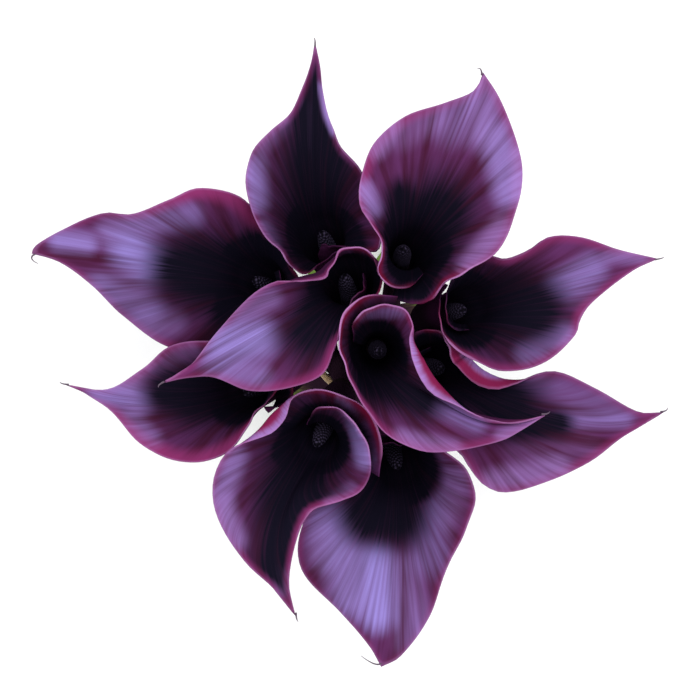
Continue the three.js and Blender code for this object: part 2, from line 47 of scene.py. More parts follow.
# The ten blooms, in mm and degrees. height is the level of the mouth, throat and foot are the middles
# of the tube's two ends, midrib is the way the tip points, and outer is the margin that lies outside
# where the two overlap. Where given, spadixTop is where the spadix ends and swing moves the shoulders
# near the tip. left and right are the margins, from where they overlap to the tip: x, y and height over
# the mouth, and where given the shoulder just inside the edge: its share back to the throat, its slope
# and its curl. The dark and the pale strokes are soft strokes on a bloom's face as seen from above: the
# two ends and the half width and, where pale, how strong and how pink. The dark ones are the throat's
# own near-black and painted shade down the funnel; the pale ones are the petal's own lilac and a
# painted satin sheen of the overhead light. margin says how red the edge is, as
# [place, value] from the left margin's start at -1 over the tip at 0 to the right one's start at 1.
# The pale back is where the back is palest if it shows: how far from the edge, and the half width. It
# is partly the back's own waxy lilac and partly a painted highlight where the roll catches the light.
blooms = [
  {
    "name": "01",
    "height": 245,
    "throat": [-8, 41],
    "foot": [-3, 28],
    "midrib": 103,
    "outer": "left",
    "dark": [[-11, 36, -10, 64, 19], [-10, 66, -12.5, 84, 11], [-12.5, 84, -11.5, 98, 3]],
    "paleAndSheen": [
      [-31.5, 65, -31, 53, 3.5, 0.8, 0.3], [-30, 71, -22, 79, 3, 0.35, 0.7],
      [-28.5, 45, -24.5, 39.5, 2, 0.4, 0.5], [-9.5, 91, -5.5, 77, 1.8, 0.9, 0.3],
      [-13, 84, -12.5, 73, 2.5, 0.3, 0],
    ],
    "margin": [[-1, 0.5], [-0.6, 0.3], [-0.3, 0.3], [0, 0.2], [0.3, 0.1], [0.6, 0.3], [1, 1.2]],
    "left": [
      [-3, 36.5, -14], [-8, 33, -13], [-14.5, 28.2, -11.5], [-19, 30.8, -9],
      [-23, 35.5, -6], [-29, 42, -2], [-33, 51, 2], [-34.5, 59, 4], [-32.5, 69.5, 5],
      [-26.5, 76.5, 6], [-19.5, 82.5, 7], [-15, 92, 9], [-12, 100, 11], [-11, 106, 13],
    ],
    "right": [
      [-9, 38.5, -16], [-3, 38.3, -13], [3, 36.9, -11], [9.3, 35.8, -10], [11.4, 38, -8],
      [12, 44, -6], [10.5, 50, -4], [7.5, 57, -1], [4, 64.5, 3], [-2, 71, 5], [-6, 80.5, 6],
      [-8.5, 90.5, 8], [-10, 101, 11], [-11, 106, 13],
    ],
  },
  {
    "name": "02",
    "height": 256,
    "throat": [21, 36],
    "foot": [18, 32],
    "spadixTop": [19.3, 36.8],
    "midrib": 68,
    "outer": "right",
    "dark": [[22, 31, 27, 42, 13], [24, 44, 32, 50, 15], [18, 44, 18, 55, 6]],
    "paleAndSheen": [
      [45, 90, 46, 76, 6, 0.45, 0.5], [50, 74, 55, 55, 5, 0.75, 0.25],
      [57, 68, 57.5, 55, 2.5, 0.8, 0.7], [52, 44, 41, 31, 3.5, 0.65, 0.8],
      [10, 70, 15, 78, 3, 0.65, 0.7], [5.5, 56, 8.5, 50, 3, 0.95, 0.5],
      [18, 74, 31, 81, 4, 0.25, 0.6], [35, 78, 41, 84, 6, 0.35, 0.3],
    ],
    "margin": [
      [-1, 1.8], [-0.7, 1.6], [-0.55, 0.9], [-0.3, 0.75], [-0.1, 0.5], [0.2, 0.6], [0.5, 0.6], [1, 0.8],
    ],
    "left": [
      [26, 28.5, -17], [20, 23, -8], [14, 24, -5], [10.5, 29, -4], [12, 38, -2], [8.5, 44, 0],
      [4, 51, 2], [5, 61.5, 3], [9, 72, 4], [19.5, 81, 5], [33, 85.5, 6], [43.5, 90, 8],
      [45.5, 95.5, 9],
    ],
    "right": [
      [15, 20, -13], [22, 18, -12], [29, 19.5, -10], [33, 24.5, -6], [39.5, 28.5, -2], [51, 36, 1],
      [57.5, 51, 3], [59, 63.5, 4], [55.5, 77, 5], [50.5, 88, 7], [45.5, 95.5, 9],
    ],
  },
  {
    "name": "03",
    "height": 248,
    "throat": [40, 17],
    "foot": [28, 13.5],
    "spadixTop": [40.8, 16.4],
    "midrib": 6,
    "outer": "right",
    "dark": [[38, 18, 55, 17, 19], [56, 18, 64, 16, 12]],
    "paleAndSheen": [
      [72, 24, 83, 30, 4.5, 0.6, 0.1], [89, 34, 99, 34, 2.5, 0.35, 0.3],
      [61, 1.5, 73, 8, 3.5, 0.7, 0.4], [76, 20, 82, 22, 3, 0.2, 0.2],
    ],
    "margin": [
      [-1, 0.7], [-0.6, 0.4], [-0.35, 0.6], [-0.15, 0.5], [0, 0.3], [0.2, 0.6], [0.45, 0.6], [1, 0.7],
    ],
    "left": [
      [42, 9, -19], [37, 9, -15], [34.5, 13, -13], [34, 20, -12], [36, 27, -12], [42, 32.5, -10],
      [49, 34.5, -6], [54, 33.3, -3], [60, 35.2, 1], [68, 40.5, 4], [79, 40.5, 6], [92.5, 36, 8],
      [105, 33, 10],
    ],
    "right": [
      [34, 25, -14], [31.5, 19, -11], [32.5, 11, -10], [35, 4, -9], [42, -0.5, -8], [53, -5, -3],
      [67, -2, 2], [77.5, 7.5, 4], [79.5, 14.5, 5], [89, 23.5, 7], [98, 30, 9], [105, 33, 10],
    ],
  },
  {
    "name": "04",
    "height": 240,
    "throat": [31, -4],
    "foot": [23, -3],
    "midrib": -32,
    "swing": [0, -14],
    "outer": "left",
    "dark": [[31, -6, 56, -17, 14], [50, -24, 72, -23, 6]],
    "paleAndSheen": [
      [62, -9, 90, -17, 4, 0.2, 0], [74, -21.5, 94, -21, 3, 0.35, 0.1],
      [50, -43, 72, -38, 4, 0.6, 0.7], [58, -33, 82, -31, 4, 0.12, 0.5],
    ],
    "margin": [
      [-1, 0.9], [-0.6, 0.9], [-0.4, 0.5], [-0.2, 0.3], [0, 0.4], [0.2, 0.6], [0.4, 0.5], [1, 0.4],
    ],
    "paleSheenBack": [6, 3.5],
    "left": [
      [21.5, 2.5, -13], [23, 8, -12], [27.5, 9.2, -10], [32, 8, -9], [35, 4, -7, 0.2, -0.1, 2],
      [35.5, -0.5, -5.5, 0.1, -0.2, 7], [39, -5, -4, 0.1, -0.3, 12], [44.5, -9.8, -3, 0.1, -0.3, 14],
      [51, -11.3, -1, 0.1, -0.3, 12], [58.6, -8.4, 1, 0.1, -0.15, 5], [70.5, -5, 3, 0.25, 0],
      [84, -10.5, 5], [99.5, -19, 8], [107.5, -19, 10],
    ],
    "right": [
      [29, 3.5, -19], [24.5, 1, -14], [22, -7, -10], [24.5, -16.5, -7], [31.5, -27, -3],
      [40, -34, 1], [45, -42.5, 3], [53, -46.5, 4], [67.5, -43, 5], [82.5, -36, 6],
      [96, -26, 8], [107.5, -19, 10],
    ],
  },
  {
    "name": "05",
    "height": 264,
    "throat": [10.5, 2],
    "foot": [10, 3],
    "midrib": -50,
    "swing": [-2, -9],
    "outer": "right",
    "dark": [[8, 2, 9, -7, 12], [10, -7, 25, -15, 9]],
    "paleAndSheen": [
      [31, -16.5, 43, -21.5, 3.5, 0.4, 0], [18, -27.5, 35, -31, 3, 0.5, 0.7],
      [52, -26.5, 62, -21.5, 2.5, 0.45, 0.6], [6, 13.5, 18, 15.5, 2, 0.45, 0.5],
    ],
    "margin": [[-1, 0.9], [-0.5, 0.9], [-0.2, 0.5], [0, 0.4], [0.25, 0.6], [0.5, 0.8], [1, 0.9]],
    "left": [
      [2, 5, -15], [2.5, 12, -6], [6, 16, -1], [13, 17.5, 1], [19, 16, 2], [21.5, 11, 3, 0.1, -0.1, 1],
      [21, 3.6, 4, 0.1, -0.2, 6], [23, -4.6, 5, 0.1, -0.3, 12], [28, -12.2, 6, 0.1, -0.3, 13],
      [38.3, -17.3, 8, 0.1, -0.2, 6], [47.8, -20.8, 9, 0.08, -0.02], [56.3, -22, 9.8, 0.3, 0, 0.3],
      [65.8, -19.6, 10, 0.35, -0.2],
    ],
    "right": [
      [17, 20, -8], [9, 21, -6], [3, 19, -4.5], [-1.5, 15, -3.5], [-2.8, 9, -3], [-2, 2, -1],
      [2, -10.5, 2], [11.5, -24.5, 3], [24.5, -31.5, 4], [36.5, -31.5, 5], [52, -27.8, 7],
      [59, -24, 8.5], [65.8, -19.6, 10, 0.35, -0.2],
    ],
  },
  {
    "name": "06",
    "height": 238,
    "throat": [17, -37],
    "foot": [13, -22],
    "midrib": -96,
    "outer": "left",
    "dark": [[11, -34, 12, -50, 17], [6, -55, 18, -57, 10]],
    "paleAndSheen": [
      [9.5, -70, 10.5, -88, 5.5, 1, 0], [-4, -57, 1, -83, 6, 0.8, 0.15],
      [-11, -56, -9, -69, 4, 0.45, 0.3], [27, -40, 28, -69, 6, 0.36, 0],
      [18, -74, 23, -96, 6, 0.36, 0.3], [33, -55, 38, -42, 4.5, 0.35, 0.5],
    ],
    "margin": [[-1, 0.4], [-0.5, 0.3], [-0.2, 0.3], [0, 0.2], [0.25, 0.2], [0.5, 0.4], [1, 0.5]],
    "left": [
      [7, -29, -14], [15, -27, -13], [24, -28, -9], [31.5, -31.5, -5], [40, -38, 0],
      [44, -48, 3], [40.5, -59, 4], [33.5, -73.5, 5], [28, -89, 6], [18, -102.5, 7],
      [11.5, -106, 7],
    ],
    "right": [
      [19, -31, -15], [11, -30.5, -12.5], [4, -34, -11], [-3, -41, -8], [-12, -51, -4],
      [-17, -64, 1], [-15, -74.5, 3], [-2.5, -87.5, 5], [7.5, -99, 6], [11.5, -106, 7],
    ],
  },
  {
    "name": "07",
    "height": 252,
    "throat": [-10, -29],
    "foot": [-3, -14],
    "midrib": -122,
    "swing": [-14, 2],
    "outer": "right",
    "dark": [[-14, -28, -18, -48, 18], [-19, -50, -24, -70, 12], [-24, -70, -21, -82, 4]],
    "paleAndSheen": [
      [-38, -34, -42, -46, 3.5, 0.65, 0.4], [-43, -49, -38, -62, 3.5, 0.75, 0.6],
      [-23, -73, -21.5, -79, 2, 0.3, 0], [2.5, -25, 6, -35, 3, 0.8, 0.2],
      [-2.5, -15, 1, -20, 2, 0.45, 0.3], [1, -45, -6, -49, 2, 0.35, 0.7],
    ],
    "margin": [
      [-1, 0.5], [-0.6, 0.5], [-0.35, 0.7], [0, 0.4], [0.3, 0.4], [0.6, 0.6], [0.85, 0.9], [1, 0.7],
    ],
    "left": [
      [-14, -23.5, -16], [-10.5, -17.5, -8], [-1, -19, -3], [5, -26, -1], [8, -36, 0],
      [5.5, -44.5, 1], [-1.5, -49, 2], [-13.5, -53, 3], [-18, -65, 4], [-19.7, -77.5, 6],
      [-17.5, -87.5, 8],
    ],
    "right": [
      [10.5, -41, -6], [12, -31, -6], [8.5, -20.5, -5], [0, -14, -5], [-11, -11, -4],
      [-19, -14, -3, 0.1, -0.2, 3], [-21, -20.5, -1, 0.1, -0.3, 11], [-25.4, -25.9, 0, 0.1, -0.3, 11],
      [-32, -28.6, 1, 0.15, -0.1, 4], [-40.5, -32, 2], [-45.5, -42, 3], [-44, -54.5, 4], [-35, -69, 5],
      [-24, -79.5, 6], [-17.5, -87.5, 8],
    ],
  },
  {
    "name": "08",
    "height": 239,
    "throat": [-34, -12],
    "foot": [-20, -6],
    "midrib": 184,
    "swing": [0, -6],
    "outer": "right",
    "dark": [[-34, -12, -53, -13, 15], [-53, -13, -62, -12, 9]],
    "paleAndSheen": [
      [-84, -11.5, -71, -15, 4.5, 0.6, 0.1], [-74, -21.5, -67, -28, 3, 0.4, 0.4],
      [-74, -8, -54, 2, 3, 0.35, 0.8],
    ],
    "margin": [[-1, 1.2], [-0.6, 1.9], [-0.35, 1.2], [0, 0.4], [0.3, 0.5], [0.6, 0.7], [1, 0.6]],
    "left": [
      [-27, -6, -19], [-23, -10, -13], [-25.5, -13, -9.5], [-30.5, -18, -6], [-35, -25.5, -2],
      [-43, -34, 1], [-57, -36, 3], [-70, -30.5, 5], [-81, -18.5, 6], [-91, -11.5, 8],
      [-96, -9.5, 10],
    ],
    "right": [
      [-29, -18, -14], [-23.5, -17.6, -13.5], [-19.5, -15, -13], [-19.5, -8, -12], [-27, -1, -10],
      [-36.5, 3.5, -7], [-49, 5.5, -2], [-61, 3.5, 1], [-70.5, -4.5, 4], [-83, -11.5, 7], [-96, -9.5, 10],
    ],
  },
  {
    "name": "09",
    "height": 259,
    "throat": [-0.5, 25.5],
    "foot": [2, 15],
    "midrib": -140,
    "outer": "right",
    "dark": [[-2, 27, -4, 20, 12], [-7, 16, -12, 8, 14]],
    "paleAndSheen": [
      [-42, 4, -30, 6, 6, 0.85, 0], [-45, -3, -30, -6.5, 4, 0.45, 0.2],
      [-36.5, 16, -26, 19.5, 3.5, 0.45, 0.4],
    ],
    "margin": [
      [-1, 0.9], [-0.6, 0.9], [-0.3, 0.6], [0, 0.4], [0.25, 0.4], [0.5, 0.7], [0.75, 0.9], [1, 0.8],
    ],
    "left": [
      [5.5, 28.5, -18], [5, 23, -12], [1, 18, -7], [-2.2, 12, -3], [-4, 4.5, -1, 0.3, 0], [-8, -5.5, 2],
      [-19.5, -10.5, 3], [-33, -11.5, 4], [-45, -7, 5], [-54, -7, 6.5], [-62.5, -9, 8],
    ],
    "right": [
      [2, 16, -13], [9, 18.5, -11], [12, 26, -12], [10.2, 32, -12], [7, 36, -6], [2.5, 37, -2],
      [-3, 36, 0], [-5.5, 30, 1], [-8, 26, 1], [-15, 25.3, 2], [-23.6, 25.5, 2], [-32.5, 20.5, 3],
      [-44.5, 7.5, 5], [-53.5, -3.5, 7], [-62.5, -9, 8],
    ],
  },
  {
    "name": "10",
    "height": 241,
    "throat": [-31, 26],
    "foot": [-16, 18],
    "midrib": 174,
    "outer": "right",
    "dark": [[-30, 27, -50, 29, 18], [-50, 30, -58, 30, 11]],
    "paleAndSheen": [
      [-74, 36, -68, 32, 6.5, 0.9, 0], [-81, 43, -54, 48, 4, 0.5, 0.2],
      [-98, 39.5, -89, 38.5, 3.5, 0.6, 0.1], [-84, 23, -68, 16, 5, 0.5, 0.1],
      [-70, 9, -60, 12, 4, 0.35, 0.4],
    ],
    "margin": [
      [-1, 0.7], [-0.5, 0.6], [-0.2, 0.4], [0, 0.2], [0.15, 0.3], [0.35, 0.8], [0.55, 1.5], [1, 1.5],
    ],
    "left": [
      [-24, 30, -19], [-22.5, 21, -15], [-28, 13, -13], [-36, 6.5, -13], [-48, 2.5, -12],
      [-62, 3.4, -5], [-77.5, 14.5, 3], [-87.5, 24.5, 6], [-99.5, 33, 7], [-107.5, 35, 8],
    ],
    "right": [
      [-17.5, 20.5, -14], [-17, 27.5, -13.5], [-20.5, 33, -13.5], [-24.5, 42, -12], [-31.5, 50, -7],
      [-38, 55.5, -1], [-50.5, 57.5, 3], [-61, 53.5, 4], [-74, 48.5, 5], [-83, 49, 6],
      [-96.5, 43.5, 7], [-106.5, 37.5, 8], [-107.5, 35, 8],
    ],
  },
]


def mix(start, end, share):
    return start + (end - start) * share


def smoothStep(low, high, value):
    share = np.clip((value - low) / (high - low), 0, 1)
    return share * share * (3 - 2 * share)


def wrapAngle(angle):
    return math.atan2(math.sin(angle), math.cos(angle))


def valuesAt(points, knots, place):  # a smooth curve through points that stand at knots
    last = len(points) - 1
    i = 0
    while i < last - 1 and place > knots[i + 1]:
        i += 1
    span = knots[i + 1] - knots[i]
    s = (place - knots[i]) / span

    def slope(k):
        low, high = max(k - 1, 0), min(k + 1, last)
        return span * (points[high] - points[low]) / (knots[high] - knots[low])

    return (points[i] * (2 * s**3 - 3 * s**2 + 1) + slope(i) * (s**3 - 2 * s**2 + s)
            + points[i + 1] * (3 * s**2 - 2 * s**3) + slope(i + 1) * (s**3 - s**2))


def bezierPoints(a, b, c, d, count):
    t = np.linspace(0, 1, count + 1)[:, None]
    a, b, c, d = (np.array(p, float) for p in (a, b, c, d))
    return a * (1 - t)**3 + 3 * b * t * (1 - t)**2 + 3 * c * t * t * (1 - t) + d * t**3


def pointRows(*values):  # one row a point, from grids of values or single ones
    return np.stack(np.broadcast_arrays(*values), axis=2).reshape(-1, len(values))


def makePiece(name, points, faces, material, nodes=()):
    mesh = bpy.data.meshes.new(name)
    mesh.from_pydata((np.array(points) * metresPerMm).tolist(), [], faces)
    mesh.materials.append(material)
    mesh.shade_smooth()
    piece = bpy.data.objects.new(name, mesh)
    bpy.context.scene.collection.objects.link(piece)
    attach(piece, "root")
    if nodes:
        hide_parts(*nodes)
    return piece


def writeTones(piece, tones, name="tones"):  # four values a vertex, for its material to read
    layer = piece.data.color_attributes.new(name, "FLOAT_COLOR", "POINT")
    layer.data.foreach_set("color", np.array(tones, np.float32).ravel())


def writeMap(piece, coordinates):  # one pair a vertex, across and along the grain of the piece
    corners = np.zeros(len(piece.data.loops), np.int32)
    piece.data.loops.foreach_get("vertex_index", corners)
    layer = piece.data.uv_layers.new(name="grainMap")
    layer.data.foreach_set("uv", np.array(coordinates, np.float32)[corners].ravel())


# Small helpers for round pieces: rings of points along a route, the faces between them, their map.

def sweepRings(route, sides, radii):
    directions = np.gradient(route, axis=0)
    rings = []
    side = Vector((1, 0, 0))
    for centre, direction, radius in zip(route, directions, radii):
        ahead = Vector(direction).normalized()
        side = (side - ahead * side.dot(ahead)).normalized()
        other = ahead.cross(side)
        for s in range(sides):
            angle = s / sides * 2 * math.pi
            rings.append(Vector(centre) + (side * math.cos(angle) + other * math.sin(angle)) * radius)
    return np.array(rings)


def tubeFaces(count, sides):
    faces = []
    for r in range(count - 1):
        for s in range(sides):
            a, b = r * sides + s, r * sides + (s + 1) % sides
            faces.append((a, b, b + sides, a + sides))
    return faces


def closedTube(rings, sides, first, last):  # with a fan at each end, round a first and a last point
    count = len(rings) // sides
    top = (count - 1) * sides
    faces = tubeFaces(count, sides)
    faces += [((s + 1) % sides, s, count * sides) for s in range(sides)]
    faces += [(top + s, top + (s + 1) % sides, count * sides + 1) for s in range(sides)]
    return np.vstack([rings, [first], [last]]), faces


def writeTubeMap(piece, around, along, twist=0):
    grain = np.zeros((len(piece.data.vertices), 2))
    onRings = pointRows(around[None] + np.reshape(twist, (-1, 1)), along[:, None])
    grain[:len(onRings)] = onRings
    writeMap(piece, grain)


# Small helpers for the materials.

def addNode(tree, kind, inputs=None, **settings):
    node = tree.nodes.new(kind)
    for key, value in settings.items():
        setattr(node, key, value)
    for key, value in (inputs or {}).items():
        if isinstance(value, bpy.types.NodeSocket):
            tree.links.new(value, node.inputs[key])
        else:
            node.inputs[key].default_value = value
    return node


def addMath(tree, operation, first, second=0.0, clamp=False):
    node = addNode(tree, "ShaderNodeMath", {0: first, 1: second}, operation=operation)
    node.use_clamp = clamp
    return node.outputs[0]


def addRange(tree, value, fromRange, toRange=(0.0, 1.0)):  # a soft step
    inputs = {"Value": value, "From Min": fromRange[0], "From Max": fromRange[1]}
    inputs.update({"To Min": toRange[0], "To Max": toRange[1]})
    return addNode(tree, "ShaderNodeMapRange", inputs, interpolation_type="SMOOTHSTEP").outputs["Result"]


def addRamp(tree, value, stops):
    node = addNode(tree, "ShaderNodeValToRGB", {"Fac": value})
    elements = node.color_ramp.elements
    while len(elements) < len(stops):
        elements.new(0.5)
    for element, (position, colour) in zip(elements, stops):
        element.position = position
        element.color = (*colour, 1)
    return node.outputs["Color"]


def addMix(tree, share, first, second):
    node = tree.nodes.new("ShaderNodeMix")
    node.data_type = "RGBA"
    for socket, value in ((node.inputs[0], share), (node.inputs[6], first), (node.inputs[7], second)):
        if isinstance(value, bpy.types.NodeSocket):
            tree.links.new(value, socket)
        elif isinstance(value, tuple):
            socket.default_value = (*value, 1)
        else:
            socket.default_value = value
    return node.outputs[2]


def newGroup(name, inputs, outputs):
    tree = bpy.data.node_groups.new(name, "ShaderNodeTree")
    for label, kind, value in inputs:
        socket = tree.interface.new_socket(name=label, in_out="INPUT", socket_type=kind)
        if value is not None:
            socket.default_value = value
    for label, kind in outputs:
        tree.interface.new_socket(name=label, in_out="OUTPUT", socket_type=kind)
    return tree, tree.nodes.new("NodeGroupInput"), tree.nodes.new("NodeGroupOutput")


def newMaterial(name):
    material = bpy.data.materials.new(name)
    material.use_nodes = True
    tree = material.node_tree
    tree.nodes.clear()
    shader = tree.nodes.new("ShaderNodeBsdfPrincipled")
    output = tree.nodes.new("ShaderNodeOutputMaterial")
    tree.links.new(shader.outputs[0], output.inputs["Surface"])
    return material, tree, shader


# Streaks that run with the grain of a petal, stem or fibre, broad and fine, each about 0.5.
def makeStreakGroup():
    tree, given, out = newGroup("longStreaks", [
        ("Map", "NodeSocketVector", None),
        ("Across", "NodeSocketFloat", 30.0),
        ("Along", "NodeSocketFloat", 1.2),
        ("Fineness", "NodeSocketFloat", 4.0),
    ], [("Broad", "NodeSocketFloat"), ("Fine", "NodeSocketFloat")])
    parts = addNode(tree, "ShaderNodeSeparateXYZ", {0: given.outputs["Map"]})
    along = addMath(tree, "MULTIPLY", parts.outputs[1], given.outputs["Along"])
    across = addMath(tree, "MULTIPLY", parts.outputs[0], given.outputs["Across"])
    finer = addMath(tree, "MULTIPLY", across, given.outputs["Fineness"])
    for label, value in (("Broad", across), ("Fine", finer)):
        place = addNode(tree, "ShaderNodeCombineXYZ", {0: value, 1: along})
        inputs = {"Vector": place.outputs[0], "Scale": 1.0, "Detail": 3.0, "Roughness": 0.6}
        noise = addNode(tree, "ShaderNodeTexNoise", inputs)
        tree.links.new(noise.outputs[0], out.inputs[label])
    return tree


# The small cells of a living surface, and a broader mottle.
def makeCellGroup():
    tree, given, out = newGroup("softCells", [
        ("Scale", "NodeSocketFloat", 900.0),
        ("Depth", "NodeSocketFloat", 1.0),
    ], [("Height", "NodeSocketFloat"), ("Mottle", "NodeSocketFloat")])
    place = addNode(tree, "ShaderNodeTexCoord").outputs["Object"]
    inputs = {"Vector": place, "Scale": given.outputs["Scale"]}
    cells = addNode(tree, "ShaderNodeTexVoronoi", inputs, feature="SMOOTH_F1")
    mottle = addNode(tree, "ShaderNodeTexNoise", {"Vector": place, "Scale": 60.0, "Detail": 4.0})
    height = addMath(tree, "MULTIPLY", cells.outputs["Distance"], given.outputs["Depth"])
    tree.links.new(height, out.inputs["Height"])
    tree.links.new(mottle.outputs[0], out.inputs["Mottle"])
    return tree


streakGroup = makeStreakGroup()
cellGroup = makeCellGroup()


def addStreaks(tree, look):
    grain = addNode(tree, "ShaderNodeUVMap", uv_map="grainMap")
    across, along, fineness = look["streaks"]
    inputs = {"Map": grain.outputs[0], "Across": across, "Along": along, "Fineness": fineness}
    return addNode(tree, "ShaderNodeGroup", inputs, node_tree=streakGroup).outputs


def addCells(tree, look):
    scale, depth = look["cells"]
    return addNode(tree, "ShaderNodeGroup", {"Scale": scale, "Depth": depth}, node_tree=cellGroup).outputs


def readTones(tree, name="tones"):
    tones = addNode(tree, "ShaderNodeAttribute", attribute_name=name)
    parts = addNode(tree, "ShaderNodeSeparateColor", {0: tones.outputs["Color"]})
    return [*parts.outputs[:3], tones.outputs["Alpha"]]


def finishSurface(tree, shader, look, colour, unevenness, height):
    tree.links.new(colour, shader.inputs["Base Color"])
    least, spread = look["roughness"]
    rough = addMath(tree, "ADD", addMath(tree, "MULTIPLY", unevenness, spread), least)
    tree.links.new(rough, shader.inputs["Roughness"])
    strength, distance = look["bump"]
    bump = addNode(tree, "ShaderNodeBump", {"Strength": strength, "Distance": distance, "Height": height})
    tree.links.new(bump.outputs[0], shader.inputs["Normal"])


# In each look, streaks says how many there are across and along and how much finer the fine ones are,
# cells their scale and depth, roughness its least and its spread, and bump its strength and distance.

petalLook = {
    # the throat's own near-black, which also stands in for painted shade down the funnel
    "coreAndShade": (0.0060, 0.0050, 0.0115),
    "wine": (0.048, 0.008, 0.026),
    "plum": (0.094, 0.024, 0.096),
    "plumFrom": (0.35, 0.65),  # of the broad streaks
    "magenta": (0.21, 0.026, 0.115),
    "crimson": (0.17, 0.006, 0.034),
    # the pale lilacs: the petal's own pale tone with a painted satin sheen of the overhead light
    "lilacSheen": (0.26, 0.20, 0.54),
    "pinkLilacSheen": (0.31, 0.145, 0.40),
    "rim": (0.44, 0.20, 0.46),
    # the back darkens down the tube to its foot: partly its own colour, partly painted shade under the
    # blooms
    "back": (0.050, 0.011, 0.044),
    "backFrom": (0.3, 0.8),  # of the way from the tube's foot to the edge
    "tube": (0.014, 0.006, 0.013),
    "tubeFrom": (0.0, 0.12),
    "tubeFoot": (0.012, 0.008, 0.008),
    "marginStreaks": (1.2, 1.6),  # how much the broad and the fine streaks break it up
    "paleSheenStreaks": (2.4, 2.8),
    "darkStreaks": (1.8, 2.6),
    "streaks": (13.0, 0.8, 4.5),
    "cells": (1400.0, 0.12),
    "roughness": (0.32, 0.2),
    "bump": (0.2, 0.0005),
}


# tones of a petal: how dark, where the throat's own near-black also stands in for shade down the funnel;
# how pale, where a lilac of its own also carries a painted satin sheen; how pink where pale, and how much
# of the margin's colour; edges: the light rim, the red glow of the front, 1 on the back, and how far up
# the tube and limb.
def makePetalMaterial():
    material, tree, shader = newMaterial("callaPetal")
    look = petalLook
    dark, paleAndSheen, pink, margin = readTones(tree)
    rim, glow, back, fromFoot = readTones(tree, "edges")
    veins = addStreaks(tree, look)
    cells = addCells(tree, look)
    broad = addMath(tree, "SUBTRACT", veins["Broad"], 0.5)
    fine = addMath(tree, "SUBTRACT", veins["Fine"], 0.5)

    def streaked(value, amounts):  # strongest where the value is neither 0 nor 1
        parts = [addMath(tree, "MULTIPLY", *pair) for pair in zip((broad, fine), amounts)]
        amount = addMath(tree, "ADD", *parts)
        middle = addMath(tree, "MULTIPLY", value, addMath(tree, "SUBTRACT", 1.25, value))
        return addMath(tree, "ADD", value, addMath(tree, "MULTIPLY", amount, middle), clamp=True)

    limb = addMix(tree, addRange(tree, veins["Broad"], look["plumFrom"]), look["wine"], look["plum"])
    marginColour = addMix(tree, glow, look["magenta"], look["crimson"])
    marginShare = streaked(margin, look["marginStreaks"])
    face = addMix(tree, marginShare, limb, marginColour)
    paleSheenShare = streaked(paleAndSheen, look["paleSheenStreaks"])
    paleSheenColour = addMix(tree, pink, look["lilacSheen"], look["pinkLilacSheen"])
    face = addMix(tree, paleSheenShare, face, paleSheenColour)
    # painted shade: the dark strokes lay near-black over the throat, partly its own colour
    face = addMix(tree, streaked(dark, look["darkStreaks"]), face, look["coreAndShade"])
    # partly painted shade: the back darkens down the tube towards its foot
    tube = addMix(tree, addRange(tree, fromFoot, look["tubeFrom"]), look["tubeFoot"], look["tube"])
    backFace = addMix(tree, addRange(tree, fromFoot, look["backFrom"]), tube, look["back"])
    backFace = addMix(tree, marginShare, backFace, marginColour)
    backFace = addMix(tree, paleSheenShare, backFace, paleSheenColour)
    colour = addMix(tree, rim, addMix(tree, back, face, backFace), look["rim"])
    height = addMath(tree, "ADD", veins["Fine"], cells["Height"])
    finishSurface(tree, shader, look, colour, cells["Mottle"], height)
    shader.inputs["Specular IOR Level"].default_value = 0.0
    return material


spadixLook = {
    # painted shade between the florets and a painted highlight on their tops
    "between": (0.003, 0.0022, 0.005),
    "floret": (0.006, 0.0045, 0.010),
    "floretTopHighlight": (0.06, 0.047, 0.09),
    "highlightFrom": 0.7,
    "mottling": 0.7,
    "cells": (2600.0, 1.0),
    "roughness": (0.45, 0.3),
    "bump": (0.3, 0.0003),
}


# tones of a spadix: how high a point stands on its floret, which sets the painted shade between the
# florets and the painted highlight on their tops.
def makeSpadixMaterial():
    material, tree, shader = newMaterial("callaSpadix")
    look = spadixLook
    cells = addCells(tree, look)
    mottle = addMath(tree, "MULTIPLY", addMath(tree, "SUBTRACT", cells["Mottle"], 0.5), look["mottling"])
    raised = addMath(tree, "ADD", readTones(tree)[0], mottle)
    stops = [(0.0, look["between"]), (look["highlightFrom"], look["floret"]), (1.0, look["floretTopHighlight"])]
    colour = addRamp(tree, raised, stops)
    finishSurface(tree, shader, look, colour, cells["Mottle"], cells["Height"])
    shader.inputs["Specular IOR Level"].default_value = 0.05
    return material


stemLook = {
    # the flushed end is the stem's own purple and also painted shade inside the bunch
    "skin": [  # from green to fully flushed with purple
        (0.0, (0.14, 0.25, 0.045)), (0.35, (0.09, 0.12, 0.03)),
        (0.65, (0.04, 0.024, 0.022)), (0.9, (0.018, 0.008, 0.015)),
    ],
    "flushAndShade": 1.3,
    "flushAndShadeStreaks": 0.7,
    "speckle": (0.2, 0.3, 0.09),
    "speckleFrom": (0.55, 0.8),
    "speckleStrength": (0.0, 0.35),
    "speckleFlushAndShade": (0.7, 0.3),  # only where the skin is green
    "pith": (0.5, 0.56, 0.33),
    "cutRim": (0.2, 0.3, 0.08),
    "cutRimFrom": (0.75, 1.0),
    "streaks": (14.0, 5.0, 4.0),
    "cells": (1100.0, 0.3),
    "roughness": (0.35, 0.25),
    "bump": (0.3, 0.0004),
}


